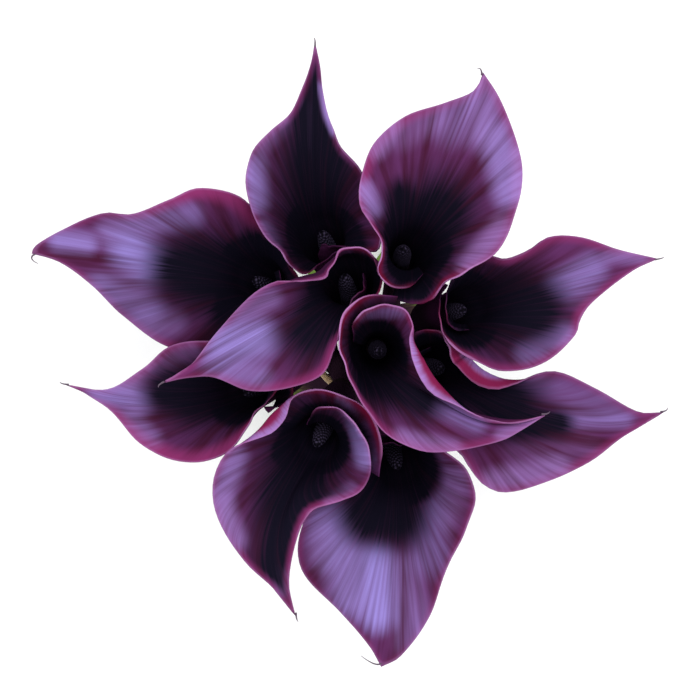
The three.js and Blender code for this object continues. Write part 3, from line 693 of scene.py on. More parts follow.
# tones of a stem: how far it is flushed with purple, which also stands in for painted shade inside the
# bunch, 1 on the cut end, and how near its rim there.
def makeStemMaterial():
    material, tree, shader = newMaterial("callaStem")
    look = stemLook
    flushedAndShaded, onCut, nearRim = readTones(tree)[:3]
    fibres = addStreaks(tree, look)
    cells = addCells(tree, look)
    broad = addMath(tree, "SUBTRACT", fibres["Broad"], 0.5)
    streaked = addMath(tree, "MULTIPLY", broad, look["flushAndShadeStreaks"])
    flushAndShade = addMath(tree, "ADD", addMath(tree, "MULTIPLY", flushedAndShaded, look["flushAndShade"]), streaked, clamp=True)
    speckle = addRange(tree, cells["Mottle"], look["speckleFrom"], look["speckleStrength"])
    speckle = addMath(tree, "MULTIPLY", speckle, addRange(tree, flushAndShade, look["speckleFlushAndShade"]))
    skin = addMix(tree, speckle, addRamp(tree, flushAndShade, look["skin"]), look["speckle"])
    pith = addMix(tree, addRange(tree, nearRim, look["cutRimFrom"]), look["pith"], look["cutRim"])
    height = addMath(tree, "ADD", fibres["Fine"], cells["Height"])
    finishSurface(tree, shader, look, addMix(tree, onCut, skin, pith), fibres["Broad"], height)
    shader.inputs["Specular IOR Level"].default_value = 0.0
    return material


twineLook = {
    "fibres": [(0.2, (0.16, 0.09, 0.04)), (0.5, (0.42, 0.28, 0.14)), (0.85, (0.68, 0.52, 0.31))],
    "streaks": (9.0, 0.6, 4.0),
    "cells": (3000.0, 1.0),
    "roughness": (0.75, 0.2),
    "bump": (0.8, 0.0003),
}


def makeTwineMaterial():
    material, tree, shader = newMaterial("juteTwine")
    fibres = addStreaks(tree, twineLook)
    cells = addCells(tree, twineLook)
    colour = addRamp(tree, fibres["Broad"], twineLook["fibres"])
    finishSurface(tree, shader, twineLook, colour, cells["Mottle"], fibres["Fine"])
    shader.inputs["Sheen Weight"].default_value = 0.25
    return material


dryTipLook = {
    "fibres": [(0.2, (0.035, 0.016, 0.035)), (0.8, (0.12, 0.075, 0.12))],
    "streaks": (6.0, 2.0, 4.0),
}


def makeDryTipMaterial():
    material, tree, shader = newMaterial("dryTip")
    fibres = addStreaks(tree, dryTipLook)
    tree.links.new(addRamp(tree, fibres["Broad"], dryTipLook["fibres"]), shader.inputs["Base Color"])
    shader.inputs["Roughness"].default_value = 0.7
    return material


petalMaterial = makePetalMaterial()
spadixMaterial = makeSpadixMaterial()
stemMaterial = makeStemMaterial()
twineMaterial = makeTwineMaterial()
dryTipMaterial = makeDryTipMaterial()
print("materials made")


# Measures that the spathes, stems and spadices share, in mm.
flower = {
    "throatDrop": 26,  # below the mouth
    "tubeLength": 30,  # upright, however the tube leans
    "throatRadius": 8.2,
    "throatFollowing": 0.35,  # how much of the tube's slope the throat takes on
    "throatLean": 0.15,  # towards the tip
    "stemRadius": 3.5,
    "stemInSpathe": 5,
    "fit": 0.3,
    "spatheThickness": 1.1,
    "layerGapAtFoot": 1.2,  # between the middles of two layers
    "layerGapAtThroat": 3,
}


def footPoint(bloom):
    return Vector((*bloom["foot"], bloom["height"] - flower["throatDrop"] - flower["tubeLength"]))


def throatPoint(bloom):
    return Vector((*bloom["throat"], bloom["height"] - flower["throatDrop"]))


def tubeDirection(bloom):
    return (throatPoint(bloom) - footPoint(bloom)).normalized()


# Spathes: one rolled sheet each.

spathe = {
    "sideColumns": 60,  # on each side of the tip
    "tubeRows": 22,
    "limbRows": 56,
    "tipCrowding": 1.15,
    "collar": 0.14,  # the tube closes on the stem below its foot, over this share of its length
    "collarGap": 0.4,
    "collarBite": 0.3,
    "axisBending": 2,  # the power at which the tube turns from the stem's way to the throat's
    "widening": 1.3,  # and at which it widens
    "riseShare": 0.72,  # how much of its height a wall climbs before it opens
    "usualShoulder": [0.35, 0.08],  # its share back to the throat and its slope
    "leastFlare": 6,  # mm that a shoulder's slope counts over at least
    "roundOff": 0.1,  # of half the margin to each side, over which the tip's shoulders are rounded
    "tipStretch": 0.3,  # of half the margin, where that is done
    "swingStretch": 0.45,
    "turnPace": 0.5,  # 0 spaces the columns evenly along the margin, 1 evenly in their turn
    "turnFollowing": 0.6,  # how far a column's turn at the throat follows its turn at the margin
    "smoothings": 4,
    "marginThickness": 0.45,
    "thinsOver": 14,  # mm from the margin
    "waveLengths": [0.16, 0.09, 0.05],  # of half the margin
    "waveHeight": 0.35,
    "waveReach": 9,  # mm from the margin
    "wavePlaces": [0.02, 0.12],  # no waves at the tip
    "waveRows": [0.3, 0.7],  # of the limb, as are the rows of the veins
    "veins": 34,
    "veinHeight": 0.05,
    "veinDistances": [1, 8],
    "veinRows": [0, 0.3],
    "mapLength": 60,  # mm along the grain for one unit of its map
    "mapShift": 3.1,  # from bloom to bloom, so that no two have the same streaks
}


# A margin's points with their shoulders and their share of its turn about the throat, and its pace.
def marginOf(bloom, points):
    azimuths = [math.atan2(p[1] - bloom["throat"][1], p[0] - bloom["throat"][0]) for p in points]
    knots, turns = [0.0], [0.0]
    for i in range(1, len(points)):
        knots.append(knots[-1] + math.dist(points[i][:3], points[i - 1][:3]))
        turns.append(turns[-1] + wrapAngle(azimuths[i - 1] - azimuths[i]))
    length, turn = knots[-1], turns[-1]
    turned = [min(1, max(t / turn for t in turns[:i + 1])) for i in range(len(points))]
    stations = []
    for p, share in zip(points, turned):
        back, lift, curl = (p[3:] or spathe["usualShoulder"]) + [0] * (6 - max(len(p), 5))
        stations.append([*p[:3], back, lift, curl, 1 - share])
    pace = [mix(knot / length, share, spathe["turnPace"]) for knot, share in zip(knots, turned)]
    aside = wrapAngle(azimuths[-1] - math.radians(bloom["midrib"]))
    return {"stations": np.array(stations), "pace": pace, "turn": turn + aside}


def throatAxis(direction, midrib):
    follow, lean = flower["throatFollowing"], flower["throatLean"]
    slopeX = direction.x / direction.z * follow + math.cos(midrib) * lean
    slopeY = direction.y / direction.z * follow + math.sin(midrib) * lean
    return Vector((slopeX, slopeY, 1)).normalized()


# The sheet's middle surface as a grid of columns, which run from the foot over the throat to the edge.
def spatheGrid(bloom):
    foot, throat, direction = footPoint(bloom), throatPoint(bloom), tubeDirection(bloom)
    midrib = math.radians(bloom["midrib"])
    lean = throatAxis(direction, midrib)
    margins = {"left": marginOf(bloom, bloom["left"]), "right": marginOf(bloom, bloom["right"])}
    outerSide = 1 if bloom["outer"] == "left" else -1
    swing = bloom.get("swing", (0, 0))
    wallRadius = flower["stemRadius"] + flower["spatheThickness"] / 2
    closedRadius = wallRadius - spathe["collarBite"]
    footRadius = wallRadius + flower["fit"] + flower["layerGapAtFoot"] / 2

    def edgeAt(place):
        margin = margins["left"] if place > 0 else margins["right"]
        far = 1 - abs(place)**spathe["tipCrowding"]
        x, y, z, back, lift, curl, fromTip = valuesAt(margin["stations"], margin["pace"], far)
        evenTurn = abs(place) * margin["turn"]
        throatTurn = mix(evenTurn, fromTip * margin["turn"], spathe["turnFollowing"])
        return Vector((x, y, z + bloom["height"])), back, lift, curl, evenTurn, throatTurn

    def rollPoint(centre, axis, radius, gap, turn):
        out = radius + gap / 2 * outerSide * turn / math.pi
        point = Vector((out * math.cos(midrib + turn), out * math.sin(midrib + turn), 0))
        return up.rotation_difference(axis) @ point + centre

    columns, turns, curls = [], [], []
    count = spathe["sideColumns"]
    for c in range(-count, count + 1):
        place = -c / count
        edge, back, lift, curl, evenTurn, throatTurn = edgeAt(place)
        points = []
        for row in range(spathe["tubeRows"]):
            rise = mix(-spathe["collar"], 1, row / spathe["tubeRows"])
            share = max(0, rise)
            opened = smoothStep(-spathe["collar"], 0, rise)
            axis = direction.lerp(lean, share**spathe["axisBending"]).normalized()
            radius = mix(footRadius, flower["throatRadius"], share**spathe["widening"])
            gap = mix(flower["layerGapAtFoot"], flower["layerGapAtThroat"], share)
            radius, gap = mix(closedRadius, radius, opened), mix(spathe["collarGap"], gap, opened)
            turn = mix(evenTurn, throatTurn, share)
            points.append(rollPoint(foot + (throat - foot) * rise, axis, radius, gap, turn))
        start = rollPoint(throat, lean, flower["throatRadius"], flower["layerGapAtThroat"], throatTurn)
        frontness = (1 - math.cos(min(abs(throatTurn), math.pi))) / 2
        straight = start.lerp(edge, spathe["riseShare"])
        climb = (start + lean * spathe["riseShare"] * (edge.z - start.z)).lerp(straight, frontness)
        before = edgeAt(max(place - spathe["roundOff"], -1))[0]
        after = edgeAt(min(place + spathe["roundOff"], 1))[0]
        rounded = (edge * 2 + before + after) / 4
        nearTip = max(0, 1 - abs(place) / spathe["tipStretch"])
        swung = max(0, 1 - abs(place) / spathe["swingStretch"])
        flare = max(spathe["leastFlare"], math.hypot(edge.x - climb.x, edge.y - climb.y))
        shoulder = edge.lerp(rounded, nearTip).lerp(climb, back)
        shoulder += Vector((swing[0] * swung, swing[1] * swung, lift * flare))
        shoulder += Vector((after.y - before.y, before.x - after.x, 0)).normalized() * curl
        limb = bezierPoints(start, climb, shoulder, edge, spathe["limbRows"])
        columns.append(np.vstack([np.array(points), limb]))
        turns.append(throatTurn)
        curls.append(curl)
    return np.array(columns), np.array(turns), np.array(curls)


def gridNormals(grid):
    across = np.empty_like(grid)
    along = np.empty_like(grid)
    across[1:-1] = grid[2:] - grid[:-2]
    across[0], across[-1] = grid[1] - grid[0], grid[-1] - grid[-2]
    along[:, 1:-1] = grid[:, 2:] - grid[:, :-2]
    along[:, 0], along[:, -1] = grid[:, 1] - grid[:, 0], grid[:, -1] - grid[:, -2]
    normals = np.cross(across, along)
    return normals / np.maximum(np.linalg.norm(normals, axis=2, keepdims=True), 1e-9)


def smoothGrid(grid, rounds):  # evens the grid out and leaves its edges where they are
    for _ in range(rounds):
        grid[:, 1:-1] = grid[:, 1:-1] / 2 + (grid[:, 2:] + grid[:, :-2]) / 4
        grid[1:-1, :-1] = grid[1:-1, :-1] / 2 + (grid[2:, :-1] + grid[:-2, :-1]) / 4
    return grid


def distanceTo(edge, grid):  # of each grid point to a line of points, in mm
    finer = np.vstack([mix(edge[:-1], edge[1:], share) for share in (0, 0.33, 0.67)])
    flat = grid.reshape(-1, 3)
    distance = np.empty(len(flat))
    batch = 1000
    for start in range(0, len(flat), batch):
        part = flat[start:start + batch]
        distance[start:start + batch] = np.sqrt(((part[:, None] - finer[None])**2).sum(2)).min(1)
    return distance.reshape(grid.shape[:2])


# Small waves along the margin, and a rib over each vein.
def ripples(places, distance):
    waves = np.zeros(len(places))
    for length in spathe["waveLengths"]:
        phase = random.uniform(0, 2 * math.pi)
        height = math.sqrt(length / spathe["waveLengths"][0])
        waves += height * np.sin(places / length * math.pi + phase)
    waves *= spathe["waveHeight"] * smoothStep(*spathe["wavePlaces"], np.abs(places))
    row = np.arange(distance.shape[1])[None]
    limbShare = np.clip((row - spathe["tubeRows"]) / spathe["limbRows"], 0, 1)
    nearMargin = smoothStep(spathe["waveReach"], 0, distance)
    waves = waves[:, None] * nearMargin * smoothStep(*spathe["waveRows"], limbShare)
    offMargin = smoothStep(*spathe["veinDistances"], distance)
    ribs = np.cos(places * spathe["veins"] * math.pi)[:, None] * spathe["veinHeight"]
    ribs = ribs * offMargin * smoothStep(*spathe["veinRows"], limbShare)
    return waves + ribs


def sheetFaces(columnCount, rowCount):  # its face, its back and the strips that join them at the edges
    faces = []
    total = columnCount * rowCount
    for c in range(columnCount - 1):
        for r in range(rowCount - 1):
            a, b = c * rowCount + r, (c + 1) * rowCount + r
            faces.append((a, b, b + 1, a + 1))
            faces.append((a + total, a + 1 + total, b + 1 + total, b + total))
        a, b = c * rowCount, (c + 1) * rowCount
        faces.append((a, a + total, b + total, b))
        a, b = a + rowCount - 1, b + rowCount - 1
        faces.append((a, b, b + total, a + total))
    last = (columnCount - 1) * rowCount
    for r in range(rowCount - 1):
        faces.append((r, r + 1, r + 1 + total, r + total))
        faces.append((last + r, last + r + total, last + r + 1 + total, last + r + 1))
    return faces


# How a petal's colours lie. A pair tells where a soft step is 0 and where it is 1: heights over the
# mouth and distances from the margin in mm, or places along it, from 0 at the tip to 1 at a start.
pattern = {
    # painted shade: below these heights the throat is painted dark
    "throatShadeHeights": [-15, -6],  # the throat below is dark whatever lies in it
    "startDistances": [3, 14],  # from the sheet's sides, where the margins' colours fade out
    "darkSpread": 1.4,  # a stroke fades out this many half widths from its middle
    "paleSheenSpread": 1.8,
    "strokeCore": 0.2,  # and is full up to here
    "paleSheenStrength": 0.72,
    "marginWidth": 1.4,
    "redWidth": 4.6,  # added for a margin of value 1
    "marginCore": 0.5,
    "marginMost": 0.95,
    # painted shade: the margin's colour fades out between these heights
    "marginShadeHeights": [-19, -9],
    "darkFrom": 0.4,  # the dark stops short of the margin
    "darkFull": 3,
    "darkFullByWidth": 0.85,
    "rimDistances": [0.75, 0.15],
    "rimPlaces": [0.5, 0.7],
    "rimStrengths": [0.35, 0.8],  # round the tip and along the front
    # painted shade: where it dives into the throat, the rim is dimmed
    "rimShadeHeights": [-3, -11],  # where it dives into the throat, the rim is dim
    "rimShadePlaces": [0.7, 0.85],
    "shadedRimStrength": 0.1,
    "glowPlaces": [0.5, 0.75],
    # painted highlight: a curled back's pale band is partly its own waxy lilac, partly lit where the roll
    # bends
    "curls": [1, 6],  # where the wall curls in this many mm, its back shows and is bright
    "curledGlow": 0.65,
    "usualPaleSheenBack": (0, 3.2),
    "paleSheenBackStrength": 0.75,
    "paleSheenBackPink": 0.6,
    "redBackMargin": 0.9,
    "redBackDistances": [14, 5],
}


def stationValues(stations, places):  # eased between [place, value] pairs
    values = np.empty(len(places))
    for i, place in enumerate(places):
        k = 0
        while k < len(stations) - 2 and place > stations[k + 1][0]:
            k += 1
        (low, first), (high, second) = stations[k], stations[k + 1]
        values[i] = mix(first, second, smoothStep(low, high, place))
    return values


# How much of a bloom's strokes lies on each point of its grid, and how pink they are there.
def strokeShares(strokes, grid, spread):
    x, y = grid[:, :, 0], grid[:, :, 1]
    bare = np.ones_like(x)
    pinkness = np.zeros_like(x)
    total = np.full_like(x, 1e-6)
    for x1, y1, x2, y2, width, *look in strokes:
        strength, pink = look or (1, 0)
        run = np.array([x2 - x1, y2 - y1])
        share = np.clip(((x - x1) * run[0] + (y - y1) * run[1]) / (run @ run), 0, 1)
        aside = np.hypot(x - x1 - share * run[0], y - y1 - share * run[1])
        here = strength * smoothStep(spread * width, pattern["strokeCore"] * width, aside)
        bare *= 1 - here
        pinkness += pink * here
        total += here
    return 1 - bare, pinkness / total


def paintSpathe(piece, bloom, grid, places, fromTop, fromSide, curls, upSheet):
    fromTip = np.abs(places)[:, None]
    above = grid[:, :, 2] - bloom["height"]
    # painted shade: 0 deep in the throat, where the dark takes over and the pale and the rim are dimmed
    clearOfThroatShade = smoothStep(*pattern["throatShadeHeights"], above)
    pastStart = smoothStep(*pattern["startDistances"], fromSide)
    curled = smoothStep(*pattern["curls"], curls)[:, None]

    red = stationValues(bloom["margin"], places)[:, None] * pastStart
    width = pattern["marginWidth"] + pattern["redWidth"] * red
    margin = np.minimum(red, pattern["marginMost"]) * smoothStep(width, pattern["marginCore"], fromTop)
    # painted shade: the margin's colour fades out below the mouth
    margin = margin * smoothStep(*pattern["marginShadeHeights"], above)

    # the dark strokes: the throat's own near-black with painted shade down the funnel
    dark = np.maximum(strokeShares(bloom["dark"], grid, pattern["darkSpread"])[0], 1 - clearOfThroatShade)
    darkFull = np.maximum(pattern["darkFull"], pattern["darkFullByWidth"] * width)
    dark = dark * mix(1, smoothStep(pattern["darkFrom"], darkFull, fromTop), pastStart)
    # painted sheen: the pale strokes lay a satin highlight, partly the petal's own lilac
    paleAndSheen, pink = strokeShares(bloom["paleAndSheen"], grid, pattern["paleSheenSpread"])
    paleAndSheen = paleAndSheen * clearOfThroatShade * pattern["paleSheenStrength"]

    # painted shade: the rim is dimmed where the margin dives into the throat
    throatRimShade = smoothStep(*pattern["rimShadeHeights"], above) * smoothStep(*pattern["rimShadePlaces"], fromTip)
    rim = mix(*pattern["rimStrengths"], smoothStep(*pattern["rimPlaces"], fromTip)) * pastStart
    rim = rim * mix(1, pattern["shadedRimStrength"], throatRimShade) * smoothStep(*pattern["rimDistances"], fromTop) * clearOfThroatShade
    glow = np.maximum(smoothStep(*pattern["glowPlaces"], fromTip), pattern["curledGlow"] * curled)

    # painted highlight: the pale band on the back where the roll catches the light, partly its own lilac
    inset, reach = bloom.get("paleSheenBack", pattern["usualPaleSheenBack"])
    onBand = smoothStep(reach, pattern["strokeCore"] * reach, np.abs(fromTop - inset))
    paleSheenBack = curled * onBand * pattern["paleSheenBackStrength"]
    redBack = curled * smoothStep(*pattern["redBackDistances"], fromTop)
    redBack = np.maximum(margin * pattern["redBackMargin"], redBack)

    face = pointRows(dark, paleAndSheen, pink, margin)
    back = pointRows(0, paleSheenBack, pattern["paleSheenBackPink"], redBack)
    writeTones(piece, np.vstack([face, back]))
    writeTones(piece, np.vstack([pointRows(rim, glow, side, upSheet) for side in (0, 1)]), "edges")


def makeSpathe(bloom):
    name = bloom["name"]
    random.seed(int(name))
    grid, turns, curls = spatheGrid(bloom)
    grid = smoothGrid(grid, spathe["smoothings"])
    normals = gridNormals(grid)
    fromTop = distanceTo(grid[:, -1], grid)
    fromSide = np.minimum(*(distanceTo(grid[column, spathe["tubeRows"]:], grid) for column in (0, -1)))
    distance = np.minimum(fromTop, fromSide)
    places = np.linspace(-1, 1, len(grid))  # -1 at the left start, 0 at the tip, 1 at the right start
    grid = grid + normals * ripples(places, distance)[:, :, None]

    full = smoothStep(0, spathe["thinsOver"], distance)
    half = mix(spathe["marginThickness"], flower["spatheThickness"], full)[:, :, None] / 2
    points = np.vstack([(grid + normals * half).reshape(-1, 3), (grid - normals * half).reshape(-1, 3)])
    faces = sheetFaces(*grid.shape[:2])
    piece = makePiece(f"spathe{name}", points, faces, petalMaterial, [f"spathe_{name}"])

    steps = np.linalg.norm(np.diff(grid, axis=1), axis=2)
    along = np.hstack([np.zeros((len(grid), 1)), np.cumsum(steps, axis=1)])
    paintSpathe(piece, bloom, grid, places, fromTop, fromSide, curls, along / along[:, -1:])
    across = mix(places, turns / -math.pi, 0.5) + int(name) * spathe["mapShift"]
    veinMap = pointRows(across[:, None], along / spathe["mapLength"])
    writeMap(piece, np.vstack([veinMap, veinMap]))


for bloom in blooms:
    makeSpathe(bloom)
print("spathes made:", len(blooms))


# Spadices: a spindle covered in small domed florets.

spadix = {
    "length": 33,
    "radius": 2.9,
    "taperFrom": 0.5,  # of its height
    "taperPower": 2.2,
    "taperShare": 0.985,
    "inset": 0.15,  # of the spindle, for the florets to stand on
    "leastRadius": 0.2,
    "tipRise": 0.3,
    "rings": 126,
    "sides": 80,
    "florets": 430,
    "floretRadius": 0.62,
    "floretHeight": 0.42,
    "turnStep": 0.7,  # radians from bloom to bloom
}


def spadixShape():
    heights = np.linspace(0, 1, spadix["rings"])
    taper = np.maximum(0, heights - spadix["taperFrom"]) / (1 - spadix["taperFrom"])
    profile = spadix["radius"] * np.sqrt(1 - spadix["taperShare"] * taper**spadix["taperPower"])
    profile = np.maximum(profile - spadix["inset"], spadix["leastRadius"])
    angles = np.arange(spadix["sides"]) / spadix["sides"] * 2 * math.pi
    golden = math.pi * (3 - math.sqrt(5))
    area = np.concatenate([[0], np.cumsum((profile[1:] + profile[:-1]) / 2)])
    order = (np.arange(spadix["florets"]) + 0.5) / spadix["florets"]
    centreHeight = np.interp(order, area / area[-1], heights)
    centreAngle = np.arange(spadix["florets"]) * golden
    centreRadius = np.interp(centreHeight, heights, profile)
    domes = np.zeros((spadix["rings"], spadix["sides"]))
    around = np.angle(np.exp(1j * (angles[:, None] - centreAngle[None]))) * centreRadius[None]
    for i, height in enumerate(heights):
        apart = np.hypot(around, (height - centreHeight)[None] * spadix["length"])
        domes[i] = np.sqrt(np.maximum(0, 1 - (apart.min(1) / spadix["floretRadius"])**2))
    radius = profile[:, None] + domes * spadix["floretHeight"]
    level = (heights * spadix["length"])[:, None]
    return pointRows(radius * np.cos(angles), radius * np.sin(angles), level), domes.ravel()


def spadixSeat(bloom):  # where it stands on its stem, just clear of it, and the way it points
    along = tubeDirection(bloom)
    base = footPoint(bloom) + along * (flower["stemInSpathe"] + flower["fit"])
    if "spadixTop" not in bloom:
        return base, along
    direction = (Vector((*bloom["spadixTop"], base.z + spadix["length"])) - base).normalized()
    return base + along * spadix["radius"] * math.sin(along.angle(direction)), direction


spadixPoints, spadixDomes = spadixShape()
for bloom in blooms:
    name = bloom["name"]
    base, direction = spadixSeat(bloom)
    turnRound = up.rotation_difference(direction) @ Quaternion(up, int(name) * spadix["turnStep"])
    turned = spadixPoints @ np.array(turnRound.to_matrix()).T + np.array(base)
    tipPoint = base + direction * (spadix["length"] + spadix["tipRise"])
    points, faces = closedTube(turned, spadix["sides"], base, tipPoint)
    piece = makePiece(f"spadix{name}", points, faces, spadixMaterial, [f"spadix_{name}"])
    tones = np.zeros((len(points), 4))
    tones[:len(turned), 0] = spadixDomes
    writeTones(piece, tones)
print("spadices made")


# Stems: from the table through the tie to their blooms.

stem = {
    "tieHeight": 118,
    "tieCentre": [4, 3],
    "firstAngle": -40,
    "rings": [  # the blooms' names anticlockwise round the tie, and the stems' turn about it in degrees
        {"blooms": ["03", "02", "01", "10", "08", "07", "06", "04"],
         "tieRadius": 11.1, "footRadius": 43, "spiral": 70},
        {"blooms": ["05", "09"], "tieRadius": 3.7, "footRadius": 15, "spiral": 50},
    ],
    "footOverrun": 0.05,  # of the way to the tie, below the table, where the stem is then cut
    "handlesBelow": [0.3, 0.15],  # the curve's handles at both ends, of the way from table to tie
    "handlesAbove": [0.2, 0.22],  # and of the way from tie to spathe
    "handlesInSpathe": [0.32, 0.66],
    "sides": 28,
    "stepsBelow": 40,
    "stepsAbove": 50,
    "stepsInSpathe": 4,
    "firstRing": 2.5,  # mm over the table at least
    "swelling": 0.3,  # at the cut end
    "swellingFade": 9,
    "unevenness": 0.05,
    "unevenLength": 23,
    "cutRim": 0.14,  # its width, of the radius
    "rimTone": 0.9,
    # the stem's own flush and painted shade: the stems darken towards the blooms
    "flushAndShadeHeights": [15, 105],  # where the purple starts and where it is full
    "mapLength": 60,  # mm along the stem for one unit of its map
}


def stemRoute(bloom):
    ring = next(ring for ring in stem["rings"] if bloom["name"] in ring["blooms"])
    place = ring["blooms"].index(bloom["name"]) / len(ring["blooms"])
    tieAngle = math.radians(stem["firstAngle"] + place * 360)
    x, y = stem["tieCentre"]

    def around(radius, angle, z):
        return Vector((x + radius * math.cos(angle), y + radius * math.sin(angle), z))

    onTable = around(ring["footRadius"], tieAngle - math.radians(ring["spiral"]), 0)
    onTie = around(ring["tieRadius"], tieAngle, stem["tieHeight"])
    top = footPoint(bloom)
    lower, upper = onTie - onTable, top - onTie
    through = (lower.normalized() + upper.normalized()).normalized()
    atTop = tubeDirection(bloom)
    overTable, underTie = stem["handlesBelow"]
    overTie, underSpathe = stem["handlesAbove"]
    below = bezierPoints(onTable - lower * stem["footOverrun"], onTable + lower * overTable,
                         onTie - through * lower.length * underTie, onTie, stem["stepsBelow"])
    above = bezierPoints(onTie, onTie + through * upper.length * overTie,
                         top - atTop * upper.length * underSpathe, top, stem["stepsAbove"])
    inSpathe = atTop * flower["stemInSpathe"]
    one, two = (top + inSpathe * share for share in stem["handlesInSpathe"])
    end = bezierPoints(top, one, two, top + inSpathe, stem["stepsInSpathe"])
    route = np.vstack([below[:-1], above[:-1], end])
    start = int(np.argmax(route[:, 2] > stem["firstRing"]))
    foot = mix(route[start], route[start - 1], route[start][2] / (route[start][2] - route[start - 1][2]))
    return np.vstack([foot, route[start:]])


def makeStem(bloom):
    name = bloom["name"]
    random.seed(100 + int(name))
    route = stemRoute(bloom)
    sides, count = stem["sides"], len(route)
    lengths = np.concatenate([[0], np.cumsum(np.linalg.norm(np.diff(route, axis=0), axis=1))])
    radii = flower["stemRadius"] + stem["swelling"] * np.exp(-lengths / stem["swellingFade"])
    phase = random.uniform(0, 6)
    radii += stem["unevenness"] * (np.sin(lengths / stem["unevenLength"] + phase) - 1)
    rings = sweepRings(route, sides, radii)
    ahead = route[1] - route[0]
    first = rings[:sides]
    rings[:sides] = first - np.outer(first[:, 2] / ahead[2], ahead)  # the cut is level with the table
    innerRing = mix(rings[:sides], route[0][None], stem["cutRim"])
    points = np.vstack([rings, innerRing, route[:1], route[-1:]])
    inner, middle = count * sides, count * sides + sides
    top = (count - 1) * sides
    faces = tubeFaces(count, sides)
    faces += [((s + 1) % sides, s, inner + s, inner + (s + 1) % sides) for s in range(sides)]
    faces += [(inner + (s + 1) % sides, inner + s, middle) for s in range(sides)]
    faces += [(top + s, top + (s + 1) % sides, middle + 1) for s in range(sides)]
    piece = makePiece(f"stem{name}", points, faces, stemMaterial, [f"stem_{name}"])
    tones = np.zeros((len(points), 4))
    tones[:, 0] = smoothStep(*stem["flushAndShadeHeights"], points[:, 2])
    tones[inner:middle + 1, 1] = 1
    tones[inner:middle, 2] = stem["rimTone"]
    writeTones(piece, tones)
    around = np.abs(np.arange(sides) / sides - 0.5) * 2 + int(name)
    writeTubeMap(piece, around, lengths / stem["mapLength"])


for bloom in blooms:
    makeStem(bloom)
print("stems made")


# The tie: plied twine wound round the stems.

twine = {
    "insideRadius": 15.2,
    "diameter": 2.6,
    "turns": 4,
    "spacing": 0.87,  # of its diameter, between turns
    "stepsUpFrom": 0.86,  # of a turn; it lies flat before
    "lift": 0.45,  # mm over the height where the stems cross
    "tuckShare": 0.02,  # of its length, at each end
    "tuckDepth": 0.5,
    "tuckedOffset": 0.5,
    "tuckedRadius": 0.7,
    "plies": 3,
    "plyRadius": 0.68,
    "plyOffset": 0.66,
    "twistLength": 7.5,  # mm for one twist of the plies
    "step": 0.7,
    "sides": 9,
    "fuzz": 0.06,
    "fuzzPace": 900,
    "mapTwist": 40,  # units round, over the whole length
    "mapLength": 20,
}


def makeTwine():
    random.seed(7)
    turns, diameter, sides = twine["turns"], twine["diameter"], twine["sides"]
    radius = twine["insideRadius"] + diameter / 2
    length = turns * 2 * math.pi * radius
    count = int(length / twine["step"])
    share = np.linspace(0, 1, count)
    angle = share * turns * 2 * math.pi
    level = np.minimum(np.floor(share * turns), turns - 1)
    stepped = level + smoothStep(twine["stepsUpFrom"], 1, share * turns - level)
    height = stepped * diameter * twine["spacing"] - (turns - 1) * diameter / 2 + twine["lift"]
    tuck = smoothStep(0, twine["tuckShare"], share) * smoothStep(1, 1 - twine["tuckShare"], share)
    reach = radius - (1 - tuck) * twine["tuckDepth"]
    x, y = stem["tieCentre"]
    outward = np.stack([np.cos(angle), np.sin(angle), np.zeros(count)], axis=1)
    route = np.array([x, y, stem["tieHeight"]]) + outward * reach[:, None] + np.outer(height, up)
    offset = (twine["plyOffset"] * mix(twine["tuckedOffset"], 1, tuck))[:, None]
    for ply in range(twine["plies"]):
        twist = (share * length / twine["twistLength"] + ply / twine["plies"]) * 2 * math.pi
        aside = outward * np.cos(twist)[:, None] + np.array(up) * np.sin(twist)[:, None]
        centre = route + aside * offset
        uneven = 1 + twine["fuzz"] * np.sin(share * twine["fuzzPace"] + random.uniform(0, 6))
        radii = twine["plyRadius"] * uneven * mix(twine["tuckedRadius"], 1, tuck)
        points, faces = closedTube(sweepRings(centre, sides, radii), sides, centre[0], centre[-1])
        piece = makePiece(f"twinePly{ply + 1}", points, faces, twineMaterial, ["tie"])
        around = np.arange(sides) / sides + ply
        writeTubeMap(piece, around, share * length / twine["mapLength"], share * twine["mapTwist"])


makeTwine()
print("tie made")


# Dry threads that end the tips, each a short route from its tip, in mm.

threads = {
    "radius": 0.34,
    "endRadius": 0.1,
    "rootDepth": 1.2,  # inside the tip
    "steps": 18,
    "sides": 8,
    "routes": {
        "01": [[0.1, 0.7, 0.3], [0, 1.2, 0.6], [-0.2, 1.6, 0.8]],
        "02": [[-0.3, 1.0, 0.2], [-1.2, 1.5, 0.4], [-1.9, 1.2, 0.5]],
        "03": [[0.8, 0.1, 0.2], [1.5, 0.2, 0.5], [1.9, 0.6, 0.8]],
        "04": [[0.8, 0.3, 0.3], [1.3, 0.9, 0.6], [1.2, 1.6, 0.8]],
        "05": [[0.7, 0.4, 0.2], [1.3, 0.8, 0.4], [1.6, 1.3, 0.6]],
        "06": [[-1.6, 0.1, -0.4], [-4.2, 1.7, -0.6], [-6.9, 3.8, -0.4]],
        "07": [[0.2, -0.8, 0.3], [0.5, -1.4, 0.6], [0.9, -1.8, 0.8]],
        "08": [[-0.8, 0.1, 0.3], [-1.4, 0.3, 0.5], [-1.8, 0.8, 0.8]],
        "09": [[-0.7, -0.3, 0.1], [-1.0, -0.8, 0.3], [-0.8, -1.3, 0.4]],
        "10": [[-1.1, -1.2, -0.2], [0.3, -2.6, 0.0], [2.3, -3.4, 0.3]],
    },
}

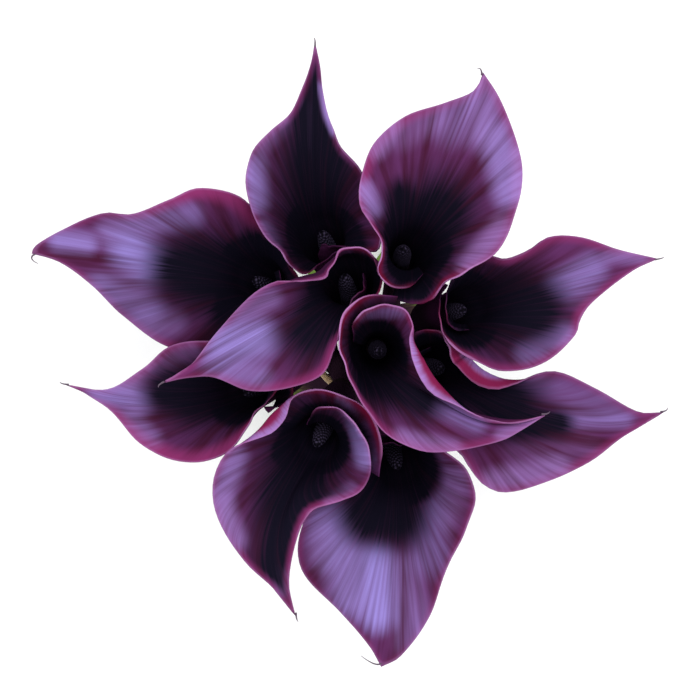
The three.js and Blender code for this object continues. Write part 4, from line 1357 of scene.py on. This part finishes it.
for bloom in blooms:
    name, sides = bloom["name"], threads["sides"]
    x, y, z = bloom["left"][-1][:3]
    tip = np.array([x, y, z + bloom["height"]])
    inward = np.array([*bloom["throat"], tip[2]]) - tip
    root = tip + inward / np.linalg.norm(inward) * threads["rootDepth"]
    onward = [tip + np.array(step) for step in threads["routes"][name]]
    route = bezierPoints(root, *onward, threads["steps"])
    radii = np.linspace(threads["radius"], threads["endRadius"], len(route))
    points, faces = closedTube(sweepRings(route, sides, radii), sides, route[0], route[-1])
    piece = makePiece(f"tipThread{name}", points, faces, dryTipMaterial)
    writeTubeMap(piece, np.arange(sides) / sides, np.linspace(0, 1, len(route)))
print("tip threads made")


# Floor, light and camera, in metres.

studio = {
    "floorSize": 4.0,
    "floorColour": (0.93, 0.93, 0.94),
    "floorRoughness": 0.9,
    "floorGloss": 0.1,
    "worldColour": (1.0, 1.0, 1.0),
    "worldStrength": 0.55,
    "lights": [  # name, place, size and power
        ("overhead", (0.1, 0.15, 2.2), 1.6, 34),
        ("leftSide", (-1.1, 0.5, 0.9), 0.9, 7),
        ("rightSide", (1.2, -0.2, 0.8), 0.9, 7),
    ],
    "cameraHeight": 1.45,
    "bloomHeight": 0.25,
    "viewWidth": 0.238,  # of the picture, at the height of the blooms
    "viewCentre": (0.00085, 0.00221),
    "viewDepth": 20,
}


def makeFloor():
    half = studio["floorSize"] / 2
    corners = [(-half, -half, 0), (half, -half, 0), (half, half, 0), (-half, half, 0)]
    mesh = bpy.data.meshes.new("floor")
    mesh.from_pydata(corners, [], [(0, 1, 2, 3)])
    floor = bpy.data.objects.new("floor", mesh)
    bpy.context.scene.collection.objects.link(floor)
    material, _, shader = newMaterial("paleFloor")
    shader.inputs["Base Color"].default_value = (*studio["floorColour"], 1)
    shader.inputs["Roughness"].default_value = studio["floorRoughness"]
    shader.inputs["Specular IOR Level"].default_value = studio["floorGloss"]
    mesh.materials.append(material)


def makeLight(name, place, size, power):  # a square one that faces the blooms
    light = bpy.data.lights.new(name, "AREA")
    light.shape = "SQUARE"
    light.size = size
    light.energy = power
    lamp = bpy.data.objects.new(name, light)
    lamp.location = place
    towards = Vector((0, 0, studio["bloomHeight"])) - Vector(place)
    lamp.rotation_euler = towards.to_track_quat("-Z", "Y").to_euler()
    bpy.context.scene.collection.objects.link(lamp)


def makeStudio():
    scene = bpy.context.scene
    world = bpy.data.worlds.new("studioWorld")
    scene.world = world
    world.use_nodes = True
    background = world.node_tree.nodes["Background"]
    background.inputs["Color"].default_value = (*studio["worldColour"], 1)
    background.inputs["Strength"].default_value = studio["worldStrength"]
    for light in studio["lights"]:
        makeLight(*light)
    lens = bpy.data.cameras.new("overheadCamera")
    lens.sensor_fit = "HORIZONTAL"
    lens.lens = lens.sensor_width * (studio["cameraHeight"] - studio["bloomHeight"]) / studio["viewWidth"]
    lens.clip_end = studio["viewDepth"]
    camera = bpy.data.objects.new("overheadCamera", lens)
    camera.location = (*studio["viewCentre"], studio["cameraHeight"])
    scene.collection.objects.link(camera)
    scene.camera = camera
    scene.view_settings.view_transform = "Standard"


makeFloor()
makeStudio()
print("studio made")
